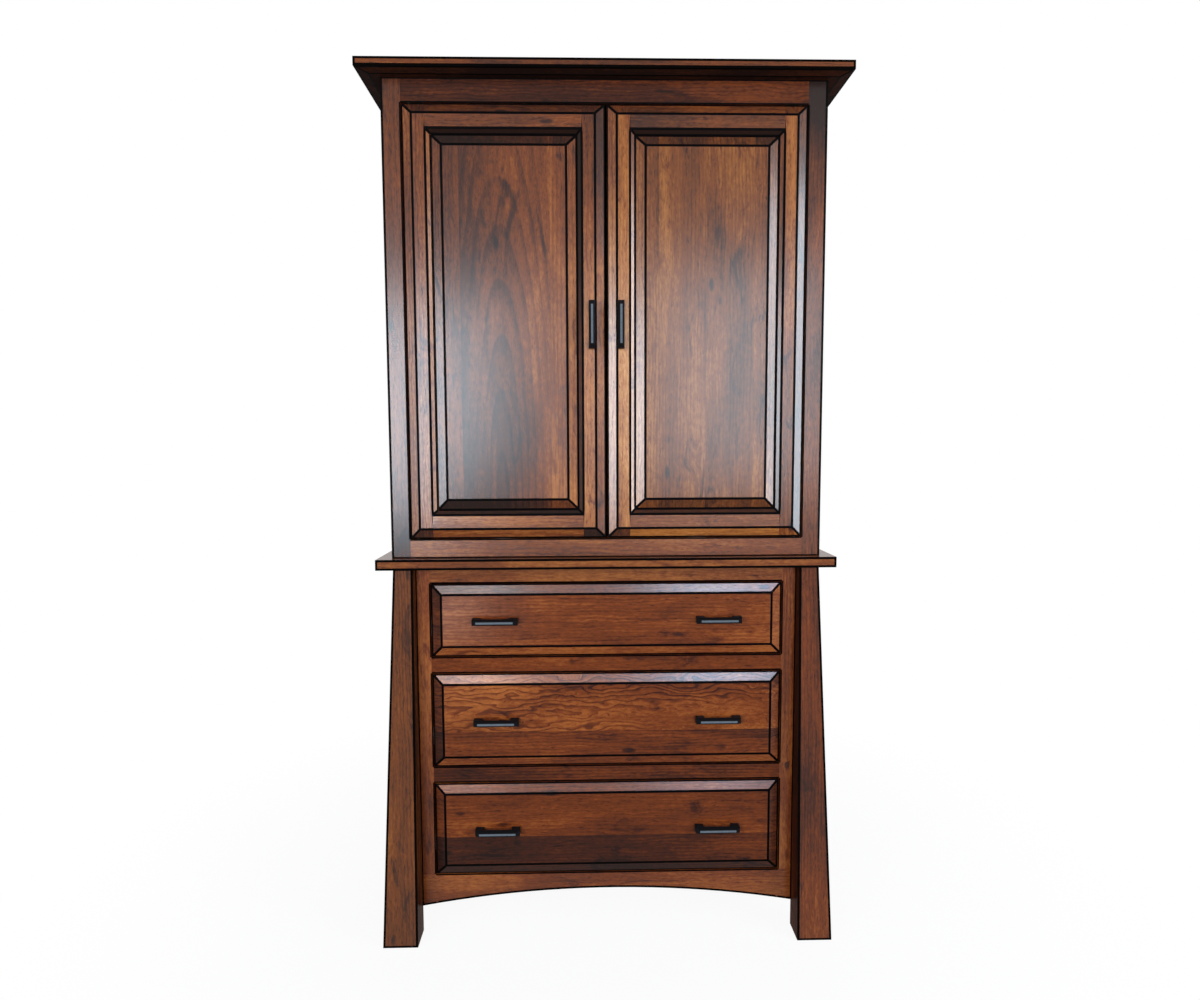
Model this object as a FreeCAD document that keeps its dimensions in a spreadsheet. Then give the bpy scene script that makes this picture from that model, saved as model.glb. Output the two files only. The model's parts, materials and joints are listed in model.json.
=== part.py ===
import FreeCAD, Part
import os
import re
import Sketcher

# A two-piece armoire: a cabinet with two raised-panel doors on a base of three drawers.
# Millimetres. +Z is up, the front faces -Y, and the origin lies on the floor under the middle.

SIZES = {
    # Whole
    "total_height": 2032,  # floor to the top of the crown
    "overall_depth": 610,  # front of the feet to the back of the base
    "base_height": 927,  # floor to the top of the ledge
    # Crown
    "crown_thickness": 25,  # whole thickness
    "crown_edge": 20,  # square part of the edge
    "crown_side_overhang": 47,  # past the sides of the upper case
    "crown_front_overhang": 42,  # past the face of the upper case
    "crown_bevel_width": 27,  # bevel on the underside
    # Upper case
    "upper_width": 1006,  # over the sides
    "upper_face_setback": 45,  # face frame behind the front of the feet
    "upper_back_inset": 5,  # back of the upper case ahead of the base's back
    "upper_side_thickness": 19,  # side boards
    "upper_frame_thickness": 22,  # face frame
    "upper_stile_width": 44,  # face frame stiles
    "upper_top_rail_width": 53,  # face frame top rail
    "upper_bottom_rail_width": 44,  # face frame bottom rail
    "upper_top_thickness": 19,  # panel under the crown
    "upper_back_thickness": 9,  # back panel
    "deck_thickness": 25,  # desk deck
    # Monitor shelf
    "shelf_thickness": 22,  # shelf board
    "shelf_depth": 380,  # front to back
    "shelf_side_gap": 1,  # room at each end
    "shelf_hole_start": 320,  # lowest pin hole above the deck
    "shelf_hole_pitch": 64,  # from one pin hole to the next
    "shelf_hole_edge": 60,  # pin holes from the shelf's front and back edges
    "shelf_pin_radius": 3.5,  # pins
    "shelf_pin_reach": 10,  # pin beyond the side board, under the shelf
    "shelf_pin_depth": 10,  # pin in the side board
    # Cable ports
    "port_radius": 30,  # hole in the back panel
    "port_wall": 3,  # wall of the grommet
    "port_flange_width": 6,  # flange past the hole
    "port_flange_thickness": 3,  # flange on the inner face
    "port_height": 90,  # centre above the deck
    "port_spread": 300,  # centre from the middle
    # Doors
    "door_gap": 2.5,  # all round the pair of doors
    "meeting_gap": 5,  # between the doors
    "door_edge_thickness": 16,  # at the outer edge, behind the bevel
    "door_bevel_width": 22,  # bevel along the outer edge
    "door_bevel_rise": 8,  # flat face ahead of the edge
    "door_stile_flat": 30,  # flat of the stiles
    "door_rail_flat": 33,  # flat of the rails
    "sticking_width": 11.5,  # slope round the panel
    "sticking_depth": 7,  # fall of that slope
    "groove_lip": 2,  # foot of the slope to the panel's groove
    "groove_depth": 8,  # groove for the panel
    "panel_tongue": 7,  # thickness of the panel in its groove
    "panel_play": 1,  # room round the panel in its groove
    "panel_bevel_width": 23.5,  # bevel round the raised field
    "panel_sink": 1.5,  # raised field behind the frame's flat
    # Knife hinges
    "hinge_inset": 16,  # pin from the door's outer edge
    "hinge_setback": 5,  # pin behind the face frame's front
    "hinge_pin_radius": 2,  # pin
    "hinge_collar_radius": 3.6,  # collar in the gap above or below the door
    "hinge_leaf_thickness": 3,  # leaves
    "hinge_leaf_width": 8,  # leaves
    "hinge_leaf_tail": 34,  # leaf from the pin towards the door's middle
    "hinge_leaf_nose": 10,  # leaf from the pin towards the door's edge
    "hinge_play": 0.05,  # round the pin, in the bore
    "hinge_end_play": 0.2,  # at the pin's tip and the collar's face
    # Catches
    "catch_offset": 20,  # near end from the middle
    "catch_width": 32,  # along the rail
    "catch_rise": 26,  # tab on the back of the rail
    "catch_drop": 18,  # block below the rail
    "catch_tab": 4,  # thickness of the tab
    "catch_plate_thickness": 1,  # plate on the door
    "catch_plate_margin": 3,  # plate's edge inside the block's
    "catch_gap": 0.3,  # block to plate with the door shut
    # Pulls
    "pull_length": 107,  # whole length
    "pull_height": 15,  # width of the bar and feet
    "pull_reach": 26,  # whole projection
    "pull_face_length": 91,  # flat front of the bar
    "pull_face_height": 9,  # flat front of the bar
    "pull_bevel_depth": 8,  # depth of the bar's bevels
    "pull_grip_gap": 16,  # finger room behind the bar
    "pull_foot": 20,  # length of each foot
    "pull_screw_radius": 2,  # screws
    "pull_screw_bite": 10,  # screw in the foot
    "pull_screw_play": 0.05,  # round the screws
    "pull_head_radius": 4,  # screw heads
    "pull_head_height": 2.5,  # screw heads
    "door_pull_offset": 33,  # door pulls from the middle
    "drawer_pull_spread": 265,  # drawer pulls from the middle
    # Base
    "ledge_thickness": 25,  # base top
    "ledge_front_overhang": 25,  # base top past the upper face
    "ledge_side_overhang": 33,  # base top past the upper sides
    "base_frame_thickness": 22,  # face frame and apron
    "base_stile_width": 34,  # face frame stiles
    "base_top_rail_width": 38,  # face frame top rail
    "drawer_rail_width": 39,  # rails between the drawers
    "top_drawer_opening": 178,  # height of the top drawer's opening
    "lower_drawer_opening": 231,  # height of the two lower openings
    "apron_end_height": 80,  # apron beside the legs
    "arch_rise": 39,  # arch in the apron
    "base_side_thickness": 22,  # side boards
    "base_back_thickness": 9,  # back panel
    "base_back_inset": 9,  # back panel ahead of the legs' back
    "base_floor_thickness": 12,  # panel under the drawers
    "base_floor_drop": 6,  # panel below the lowest opening
    # Legs
    "leg_top_inset": 4,  # outer face under the ledge inside the upper sides
    "leg_top_width": 46,  # under the ledge
    "leg_foot_width": 83,  # at the floor
    "leg_top_depth": 29,  # front legs under the ledge
    "leg_foot_depth": 64,  # front legs at the floor
    "leg_lap": 5,  # back of the front legs behind the frame's front
    "rear_leg_depth": 50,  # rear legs
    # Drawers
    "drawer_gap": 2.5,  # round each front
    "drawer_edge_thickness": 16,  # front's edge, behind the bevel
    "drawer_bevel_width": 24,  # bevel round the front
    "drawer_bevel_rise": 8,  # flat face ahead of the edge
    "drawer_rear_room": 27,  # box to the base's back panel
    "drawer_side_thickness": 13,  # box sides
    "drawer_end_thickness": 16,  # box front and back
    "drawer_bottom_thickness": 6,  # box bottom
    "drawer_bottom_lift": 12,  # box bottom above the lower edge
    "drawer_groove_depth": 6,  # box bottom in its groove
    "drawer_head_room": 25,  # opening above the box
    "drawer_floor_room": 14,  # opening below the box
    "dovetail_pitch": 38,  # from pin to pin, about
    "dovetail_pin": 7,  # pin's narrow end
    "dovetail_flare": 2.5,  # pin's growth on each edge
    # Slides
    "slide_thickness": 12.7,  # drawer box to opening
    "slide_height": 45,  # cabinet member
    "slide_rear_room": 31,  # slides to the base's back panel
    "slide_wall": 1.5,  # sheet steel
    "slide_play": 0.4,  # between nested flanges
    "slide_flange": 9.5,  # cabinet member's flanges
    "slide_lift": 55,  # slide's middle above the box's lower edge
    "cleat_height": 60,  # cleats behind the slides
}

# Places worked out from the sizes.
PLACES = {
    "front_y": "-overall_depth / 2",
    "back_y": "overall_depth / 2",
    "face_y": "front_y + upper_face_setback",
    "upper_inner_y": "face_y + upper_frame_thickness",
    "upper_back_y": "back_y - upper_back_inset",
    "upper_lining_y": "upper_back_y - upper_back_thickness",
    "upper_half": "upper_width / 2",
    "upper_inner_half": "upper_half - upper_side_thickness",
    "upper_opening_half": "upper_half - upper_stile_width",
    "upper_top": "total_height - crown_thickness",
    "upper_opening_top": "upper_top - upper_top_rail_width",
    "upper_opening_low": "base_height + upper_bottom_rail_width",
    "crown_half": "upper_half + crown_side_overhang",
    "crown_front_y": "face_y - crown_front_overhang",
    "crown_square_z": "total_height - crown_edge",
    "shelf_half": "upper_inner_half - shelf_side_gap",
    "shelf_front_y": "upper_lining_y - shelf_depth",
    "port_z": "upper_opening_low + port_height",
    "door_outer": "upper_opening_half - door_gap",
    "door_inner": "meeting_gap / 2",
    "door_low": "upper_opening_low + door_gap",
    "door_high": "upper_opening_top - door_gap",
    "door_face_y": "face_y - door_bevel_rise",
    "door_back_y": "face_y + door_edge_thickness",
    "stile_edge": "door_bevel_width + door_stile_flat",
    "rail_edge": "door_bevel_width + door_rail_flat",
    "stile_width": "stile_edge + sticking_width",
    "rail_width": "rail_edge + sticking_width",
    "sticking_y": "door_face_y + sticking_depth",
    "groove_y": "sticking_y + groove_lip",
    "field_y": "door_face_y + panel_sink",
    "hinge_x": "door_outer - hinge_inset",
    "hinge_y": "face_y + hinge_setback",
    "door_middle_z": "(door_low + door_high) / 2",
    "pull_screw_offset": "(pull_length - pull_foot) / 2",
    "frame_half": "upper_half - leg_top_inset - leg_top_width",
    "base_face_y": "front_y + leg_foot_depth - leg_lap",
    "base_inner_y": "base_face_y + base_frame_thickness",
    "base_lining_y": "back_y - base_back_inset - base_back_thickness",
    "leg_back_y": "front_y + leg_foot_depth",
    "rear_leg_y": "back_y - rear_leg_depth",
    "opening_half": "frame_half - base_stile_width",
    "ledge_low": "base_height - ledge_thickness",
    "ledge_half": "upper_half + ledge_side_overhang",
    "top_drawer_high": "ledge_low - base_top_rail_width",
    "top_drawer_low": "top_drawer_high - top_drawer_opening",
    "middle_drawer_high": "top_drawer_low - drawer_rail_width",
    "middle_drawer_low": "middle_drawer_high - lower_drawer_opening",
    "bottom_drawer_high": "middle_drawer_low - drawer_rail_width",
    "bottom_drawer_low": "bottom_drawer_high - lower_drawer_opening",
    "apron_top": "bottom_drawer_low",
    "apron_low": "apron_top - apron_end_height",
    "base_floor_top": "apron_top - base_floor_drop",
    "front_half": "opening_half - drawer_gap",
    "drawer_face_y": "base_face_y - drawer_bevel_rise",
    "drawer_back_y": "base_face_y + drawer_edge_thickness",
    "box_half": "opening_half - slide_thickness",
    "box_inner_half": "box_half - drawer_side_thickness",
    "box_back_y": "base_lining_y - drawer_rear_room",
    "slide_back_y": "base_lining_y - slide_rear_room",
}

# How many pin holes stand in a column, and which one carries the shelf.
SHELF_HOLES = 7
SHELF_HOLE_IN_USE = 2

doc = FreeCAD.newDocument("Armoire")
sheet = doc.addObject("Spreadsheet::Sheet", "Sizes")
NODES = []


def fill_sheet():
    """Write one row for each size: its name, and its value under that name."""
    for row, (name, value) in enumerate(SIZES.items(), 1):
        sheet.set("A%d" % row, name)
        sheet.set("B%d" % row, str(value))
        sheet.setAlias("B%d" % row, name)
    doc.recompute()


def spell(text):
    """The expression with each place spelled out and each size led back to the sheet."""
    def word(found):
        name = found.group()
        if name in PLACES:
            return "(" + spell(PLACES[name]) + ")"
        if name in SIZES:
            return "Sizes." + name
        return name
    return re.sub(r"[a-z][a-z_]*", word, str(text))


def bind(item, **expressions):
    for name, text in expressions.items():
        item.setExpression(name, spell(text))


def measure(text):
    """The value of an expression in the names of sizes and places."""
    return float(sheet.evalExpression(spell(text)))


def move(item, x="0", y="0", z="0"):
    for axis, text in (("x", x), ("y", y), ("z", z)):
        item.setExpression("Placement.Base." + axis, spell(text))


def less(low, high):
    return "(%s) - (%s)" % (high, low)


def block(name, x, y, z):
    """A square-edged board between the given low and high places."""
    item = doc.addObject("Part::Box", name)
    bind(item, Length=less(*x), Width=less(*y), Height=less(*z))
    move(item, x[0], y[0], z[0])
    return item


def frustum(name, y, front, back):
    """A board whose front and back outlines differ: each outline is an x span and a z span."""
    item = doc.addObject("Part::Wedge", name)
    (x_low, x_high), (z_low, z_high) = front
    bind(item, Ymin=y[0], Ymax=y[1], Xmin=x_low, Xmax=x_high, Zmin=z_low, Zmax=z_high)
    (x_low, x_high), (z_low, z_high) = back
    bind(item, X2min=x_low, X2max=x_high, Z2min=z_low, Z2max=z_high)
    return item


def flare(name, z, low, high):
    """A post whose low and high outlines differ: each outline is an x span and a y span."""
    item = doc.addObject("Part::Wedge", name)
    (x_low, x_high), (y_low, y_high) = low
    bind(item, Ymin=z[0], Ymax=z[1], Xmin=x_low, Xmax=x_high)
    bind(item, Zmin="-(%s)" % y_high, Zmax="-(%s)" % y_low)
    (x_low, x_high), (y_low, y_high) = high
    bind(item, X2min=x_low, X2max=x_high, Z2min="-(%s)" % y_high, Z2max="-(%s)" % y_low)
    item.Placement = FreeCAD.Placement(FreeCAD.Vector(), FreeCAD.Rotation(FreeCAD.Vector(1, 0, 0), 90))
    return item


# The turns that lay a cylinder, which stands along Z, along each axis.
TURNS = {
    "x": FreeCAD.Rotation(FreeCAD.Vector(0, 1, 0), 90),
    "y": FreeCAD.Rotation(FreeCAD.Vector(1, 0, 0), -90),
    "z": FreeCAD.Rotation(),
}


def rod(name, axis, radius, start, length):
    """A round rod from a start point (x, y, z) along an axis."""
    item = doc.addObject("Part::Cylinder", name)
    item.Placement = FreeCAD.Placement(FreeCAD.Vector(), TURNS[axis])
    bind(item, Radius=radius, Height=length)
    move(item, *start)
    return item


def group(name, items):
    item = doc.addObject("Part::Compound", name)
    item.Links = items
    return item


def joined(name, items):
    item = doc.addObject("Part::MultiFuse", name)
    item.Shapes = items
    item.Refine = True
    return item


def cut(name, base, tools):
    item = doc.addObject("Part::Cut", name)
    item.Base = base
    item.Tool = tools[0] if len(tools) == 1 else group(name + "_tools", tools)
    return item


def common(name, base, tool):
    item = doc.addObject("Part::Common", name)
    item.Base = base
    item.Tool = tool
    return item


def mirror(name, source):
    """The same piece on the left."""
    item = doc.addObject("Part::Mirroring", name)
    item.Source = source
    item.Normal = FreeCAD.Vector(1, 0, 0)
    return item


def node(item, label):
    """Keep an object as a sub-part under its own name."""
    item.Label = label
    NODES.append(item)
    return item


def both_sides(item, right_label, left_label):
    node(item, right_label)
    return node(mirror(left_label, item), left_label)


def span(half):
    return ("-(%s)" % half, half)


def build_crown():
    square = block("crown_square", span("crown_half"), ("crown_front_y", "upper_back_y"),
                   ("crown_square_z", "total_height"))
    inset = span("crown_half - crown_bevel_width")
    bevel = flare("crown_bevel", ("upper_top", "crown_square_z"),
                  (inset, ("crown_front_y + crown_bevel_width", "upper_back_y")),
                  (span("crown_half"), ("crown_front_y", "upper_back_y")))
    node(joined("crown", [square, bevel]), "crown_top")


def shelf_pin_places():
    """The front and back columns of pin holes."""
    return ("shelf_front_y + shelf_hole_edge", "upper_lining_y - shelf_hole_edge")


def shelf_hole_z(index):
    return "upper_opening_low + shelf_hole_start + %d * shelf_hole_pitch" % index


def build_upper_case():
    depth = ("upper_inner_y", "upper_lining_y")
    board = block("upper_side_board", ("upper_inner_half", "upper_half"),
                  ("upper_inner_y", "upper_back_y"), ("base_height", "upper_top"))
    holes = []
    for column, y in enumerate(shelf_pin_places()):
        for index in range(SHELF_HOLES):
            name = "shelf_hole_%d_%d" % (column, index)
            start = ("upper_inner_half", y, shelf_hole_z(index))
            holes.append(rod(name, "x", "shelf_pin_radius", start, "shelf_pin_depth"))
    both_sides(cut("upper_side", board, holes), "upper_right_side", "upper_left_side")
    top = block("upper_top_board", span("upper_inner_half"), depth,
                ("upper_top - upper_top_thickness", "upper_top"))
    node(top, "upper_top_panel")
    deck = block("deck_board", span("upper_inner_half"), depth,
                 ("upper_opening_low - deck_thickness", "upper_opening_low"))
    node(deck, "desk_deck")


def build_back_and_ports():
    panel = block("upper_back_board", span("upper_inner_half"), ("upper_lining_y", "upper_back_y"),
                  ("base_height", "upper_top"))
    holes = []
    grommets = []
    for side, sign in (("right", ""), ("left", "-")):
        x = sign + "port_spread"
        start = (x, "upper_lining_y", "port_z")
        holes.append(rod("port_hole_" + side, "y", "port_radius", start, "upper_back_thickness"))
        grommets.append(build_grommet("grommet_" + side, x))
    node(cut("upper_back", panel, holes), "upper_back_panel")
    node(group("grommets", grommets), "cable_grommets")


def plane_of(body, role):
    return next(item for item in body.Origin.OriginFeatures if item.Role == role)


def outline(sketch, points):
    """Closed straight outline; each corner is a pair of expressions, along and across the sketch."""
    doc.recompute()
    count = len(points)
    sketch.addGeometry([Part.LineSegment(FreeCAD.Vector(index, 0, 0), FreeCAD.Vector(index + 1, 1, 0))
                        for index in range(count)], False)
    for index in range(count):
        sketch.addConstraint(Sketcher.Constraint("Coincident", index, 2, (index + 1) % count, 1))
    for index, corner in enumerate(points):
        for kind, text in zip(("DistanceX", "DistanceY"), corner):
            place = sketch.addConstraint(Sketcher.Constraint(kind, -1, 1, index, 1, measure(text)))
            sketch.setExpression("Constraints[%d]" % place, spell(text))


def build_grommet(name, x):
    """A flanged ring, turned about the port's axis."""
    body = doc.addObject("PartDesign::Body", name)
    sketch = body.newObject("Sketcher::SketchObject", name + "_section")
    sketch.AttachmentSupport = [(plane_of(body, "XZ_Plane"), "")]
    sketch.MapMode = "FlatFace"
    flange = "port_radius + port_flange_width"
    outline(sketch, (
        ("port_radius - port_wall", "-upper_back_thickness"),
        ("port_radius", "-upper_back_thickness"),
        ("port_radius", "0"),
        (flange, "0"),
        (flange, "port_flange_thickness"),
        ("port_radius - port_wall", "port_flange_thickness"),
    ))
    ring = body.newObject("PartDesign::Revolution", name + "_ring")
    ring.Profile = sketch
    ring.ReferenceAxis = (sketch, ["V_Axis"])
    ring.Angle = 360
    body.Placement = FreeCAD.Placement(FreeCAD.Vector(), FreeCAD.Rotation(FreeCAD.Vector(1, 0, 0), 90))
    move(body, x, "upper_lining_y", "port_z")
    return body


def build_shelf():
    floor = shelf_hole_z(SHELF_HOLE_IN_USE)
    board = block("shelf_board", span("shelf_half"), ("shelf_front_y", "upper_lining_y"),
                  (floor + " + shelf_pin_radius", floor + " + shelf_pin_radius + shelf_thickness"))
    node(board, "monitor_shelf")
    pins = []
    for column, y in enumerate(shelf_pin_places()):
        start = ("upper_inner_half - shelf_pin_reach", y, floor)
        pin = rod("shelf_pin_%d" % column, "x", "shelf_pin_radius", start,
                  "shelf_pin_reach + shelf_pin_depth")
        pins += [pin, mirror("shelf_pin_left_%d" % column, pin)]
    node(group("pins", pins), "shelf_pins")


# The two knife hinges of the right door: where the leaf meets the case, and which way the pin points.
HINGE_ENDS = (("top", "upper_opening_top", "-"), ("bottom", "upper_opening_low", "+"))


def along(start, sign, length):
    """The low and high places of a length laid off from a start, upwards or downwards."""
    end = "%s %s (%s)" % (start, sign, length)
    return (start, end) if sign == "+" else (end, start)


def leaf(name, z):
    half = "hinge_leaf_width / 2"
    return block(name, ("hinge_x - hinge_leaf_tail", "hinge_x + hinge_leaf_nose"),
                 ("hinge_y - " + half, "hinge_y + " + half), z)


def build_hinges():
    """The leaves of the right door's hinges, and the mortises that take them."""
    case_leaves, case_mortises, door_leaves, door_mortises = [], [], [], []
    for end, seat, inward in HINGE_ENDS:
        outward = "+" if inward == "-" else "-"
        plate_z = along(seat, outward, "hinge_leaf_thickness")
        plate = leaf("case_leaf_plate_" + end, plate_z)
        collar_z = along(seat, inward, "door_gap - hinge_end_play")
        collar = rod("hinge_collar_" + end, "z", "hinge_collar_radius",
                     ("hinge_x", "hinge_y", collar_z[0]), less(*collar_z))
        pin_z = along(seat, inward, "door_gap + hinge_leaf_thickness - hinge_end_play")
        pin = rod("hinge_pin_" + end, "z", "hinge_pin_radius",
                  ("hinge_x", "hinge_y", pin_z[0]), less(*pin_z))
        case_leaves.append(joined("case_leaf_" + end, [plate, collar, pin]))
        case_mortises.append(leaf("case_mortise_" + end, plate_z))
        edge = "%s %s door_gap" % (seat, inward)
        door_z = along(edge, inward, "hinge_leaf_thickness")
        bore = rod("hinge_bore_" + end, "z", "hinge_pin_radius + hinge_play",
                   ("hinge_x", "hinge_y", door_z[0]), less(*door_z))
        door_leaves.append(cut("door_leaf_" + end, leaf("door_leaf_plate_" + end, door_z), [bore]))
        door_mortises.append(leaf("door_mortise_" + end, door_z))
    left = [mirror("left_" + item.Name, item) for item in case_leaves]
    node(group("case_leaves", case_leaves + left), "hinge_case_leaves")
    both_sides(group("door_leaves", door_leaves), "right_door_hinge_leaves", "left_door_hinge_leaves")
    return case_mortises, door_mortises


def build_upper_frame(mortises):
    depth = ("face_y", "upper_inner_y")
    stile = block("upper_stile", ("upper_opening_half", "upper_half"), depth, ("base_height", "upper_top"))
    node(group("upper_stile_pair", [stile, mirror("upper_left_stile", stile)]), "upper_stiles")
    top_mortise, bottom_mortise = mortises
    for label, z, mortise in (
            ("upper_top_rail", ("upper_opening_top", "upper_top"), top_mortise),
            ("upper_bottom_rail", ("base_height", "upper_opening_low"), bottom_mortise)):
        board = block(label + "_board", span("upper_opening_half"), depth, z)
        node(cut(label, board, [mortise, mirror(label + "_left_mortise", mortise)]), label)


def build_catches():
    x = ("catch_offset", "catch_offset + catch_width")
    front = "door_back_y + catch_plate_thickness + catch_gap"
    tab = block("catch_tab_block", x, ("upper_inner_y", "upper_inner_y + catch_tab"),
                ("upper_opening_top - catch_drop", "upper_opening_top + catch_rise"))
    magnet = block("catch_magnet_block", x, (front, "upper_inner_y + catch_tab"),
                   ("upper_opening_top - catch_drop", "upper_opening_top"))
    catch = joined("catch", [tab, magnet])
    node(group("catches", [catch, mirror("left_catch", catch)]), "door_catches")
    plate = block("catch_plate", (x[0] + " + catch_plate_margin", x[1] + " - catch_plate_margin"),
                  ("door_back_y", "door_back_y + catch_plate_thickness"),
                  ("upper_opening_top - catch_drop", "door_high"))
    both_sides(plate, "right_door_catch_plate", "left_door_catch_plate")


def about(centre, length):
    """The low and high places of a length with its middle at the centre."""
    return ("%s - (%s) / 2" % (centre, length), "%s + (%s) / 2" % (centre, length))


def pull(name, x, y, z, upright):
    """The bar of a pull on the face at y, with its middle at x and z, and the finger room behind it."""
    def spread(length, height):
        if upright:
            return about(x, height), about(z, length)
        return about(x, length), about(z, height)
    whole = spread("pull_length", "pull_height")
    shoulder = "%s - pull_reach + pull_bevel_depth" % y
    body = block(name + "_body", whole[0], (shoulder, y), whole[1])
    bevel = frustum(name + "_bevel", ("%s - pull_reach" % y, shoulder),
                    spread("pull_face_length", "pull_face_height"), whole)
    grip = spread("pull_length - 2 * pull_foot", "pull_height")
    gap = block(name + "_gap", grip[0], ("%s - pull_grip_gap" % y, y), grip[1])
    return joined(name + "_bar", [body, bevel]), gap


def pull_screws(name, x, y, z, upright, back_y):
    """Two screws from the back face into the feet, and the holes that they pass through."""
    screws, holes = [], []
    for end, sign in (("a", "-"), ("b", "+")):
        offset = "%s pull_screw_offset" % sign
        place = (x, "%s %s" % (z, offset)) if upright else ("%s %s" % (x, offset), z)
        tip = "%s - pull_screw_bite" % y
        length = less(tip, back_y)
        shank = rod("%s_shank_%s" % (name, end), "y", "pull_screw_radius",
                    (place[0], tip, place[1]), length)
        head = rod("%s_head_%s" % (name, end), "y", "pull_head_radius",
                   (place[0], back_y, place[1]), "pull_head_height")
        screws.append(joined("%s_screw_%s" % (name, end), [shank, head]))
        holes.append(rod("%s_hole_%s" % (name, end), "y", "pull_screw_radius + pull_screw_play",
                         (place[0], tip, place[1]), length))
    return screws, holes


def build_pull(name, x, y, z, upright, back_y):
    """The finished pull with its screws, and the holes to cut in what carries it."""
    bar, gap = pull(name, x, y, z, upright)
    screws, holes = pull_screws(name, x, y, z, upright, back_y)
    return [cut(name, bar, [gap] + holes)] + screws, holes


def inside(margin_x, margin_z):
    """An outline of the right door drawn in from its edges."""
    return (("door_inner + " + margin_x, "door_outer - (%s)" % margin_x),
            ("door_low + " + margin_z, "door_high - (%s)" % margin_z))


def build_door_frame(mortises):
    """Two stiles and two rails, mitred along the slope round the panel."""
    outer = inside("0", "0")
    flat = inside("door_bevel_width", "door_bevel_width")
    edge = inside("stile_edge", "rail_edge")
    foot = inside("stile_width", "rail_width")
    groove = inside("stile_width - groove_depth", "rail_width - groove_depth")
    slab = joined("door_slab", [
        block("door_edge_slab", outer[0], ("face_y", "door_back_y"), outer[1]),
        frustum("door_bevel_slab", ("door_face_y", "face_y"), flat, outer)])
    slope = frustum("door_slope", ("door_face_y", "sticking_y"), edge, foot)
    opening = block("door_opening", foot[0], ("sticking_y", "door_back_y"), foot[1])
    slot = block("door_groove", groove[0], ("groove_y", "groove_y + panel_tongue"), groove[1])
    frame = cut("door_frame", slab, [joined("door_hollow", [slope, opening, slot])])
    pull_pieces, pull_holes = build_pull("right_pull", "door_pull_offset", "door_face_y", "door_middle_z",
                                         True, "door_back_y")
    both_sides(group("right_pull_set", pull_pieces), "right_door_pull", "left_door_pull")
    depth = ("door_face_y", "door_back_y")
    stiles = []
    for kind, plank, taper in (
            ("hinge", (edge[0][1], outer[0][1]), (foot[0][1], edge[0][1])),
            ("meeting", (outer[0][0], edge[0][0]), (edge[0][0], foot[0][0]))):
        keep = joined(kind + "_stile_keep", [
            block(kind + "_stile_plank", plank, depth, outer[1]),
            mitre(kind + "_stile_mitre", taper, kind == "hinge", edge[1], foot[1])])
        stiles.append(keep)
        cutters = mortises if kind == "hinge" else pull_holes
        stile = cut(kind + "_stile", common(kind + "_stile_blank", frame, keep), cutters)
        both_sides(stile, "right_door_%s_stile" % kind, "left_door_%s_stile" % kind)
    rails = cut("door_rails", frame, stiles)
    for kind, z in (("top", ("door_middle_z", "door_high")), ("bottom", ("door_low", "door_middle_z"))):
        half = block(kind + "_rail_keep", outer[0], depth, z)
        rail = common(kind + "_rail", rails, half)
        both_sides(rail, "right_door_%s_rail" % kind, "left_door_%s_rail" % kind)


def mitre(name, x, wide_at_right, edge_z, foot_z):
    """The strip of a stile beside the panel, with its ends mitred to the rails' strips."""
    item = doc.addObject("Part::Wedge", name)
    item.Placement = FreeCAD.Placement(FreeCAD.Vector(), FreeCAD.Rotation(FreeCAD.Vector(0, 0, 1), -90))
    bind(item, Ymin=x[0], Ymax=x[1], Xmin="-door_back_y", Xmax="-door_face_y", X2min="-door_back_y",
         X2max="-door_face_y")
    near, far = (foot_z, edge_z) if wide_at_right else (edge_z, foot_z)
    bind(item, Zmin=near[0], Zmax=near[1], Z2min=far[0], Z2max=far[1])
    return item


def build_door_panel():
    tongue = inside("stile_width - groove_depth + panel_play", "rail_width - groove_depth + panel_play")
    foot = inside("stile_width", "rail_width")
    field = inside("stile_width + panel_bevel_width", "rail_width + panel_bevel_width")
    board = block("panel_board", tongue[0], ("groove_y", "groove_y + panel_tongue"), tongue[1])
    raised = frustum("panel_raised", ("field_y", "groove_y"), field, foot)
    both_sides(joined("panel", [board, raised]), "right_door_panel", "left_door_panel")


def build_ledge_and_legs():
    ledge = block("ledge", span("ledge_half"), ("face_y - ledge_front_overhang", "back_y"),
                  ("ledge_low", "base_height"))
    node(ledge, "base_top")
    foot_x = ("frame_half", "frame_half + leg_foot_width")
    top_x = ("frame_half", "frame_half + leg_top_width")
    front = flare("front_leg", ("0", "ledge_low"), (foot_x, ("front_y", "leg_back_y")),
                  (top_x, ("leg_back_y - leg_top_depth", "leg_back_y")))
    both_sides(front, "front_right_leg", "front_left_leg")
    rear = flare("rear_leg", ("0", "ledge_low"), (foot_x, ("rear_leg_y", "back_y")),
                 (top_x, ("rear_leg_y", "back_y")))
    both_sides(rear, "rear_right_leg", "rear_left_leg")


def build_base_case():
    side = block("base_side", ("frame_half", "frame_half + base_side_thickness"),
                 ("leg_back_y", "rear_leg_y"), ("apron_low", "ledge_low"))
    both_sides(side, "base_right_side", "base_left_side")
    back = block("base_back", span("frame_half"), ("base_lining_y", "base_lining_y + base_back_thickness"),
                 ("apron_low", "ledge_low"))
    node(back, "base_back_panel")
    floor = block("base_floor_board", span("frame_half"), ("base_inner_y", "base_lining_y"),
                  ("base_floor_top - base_floor_thickness", "base_floor_top"))
    node(floor, "base_floor")


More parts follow.
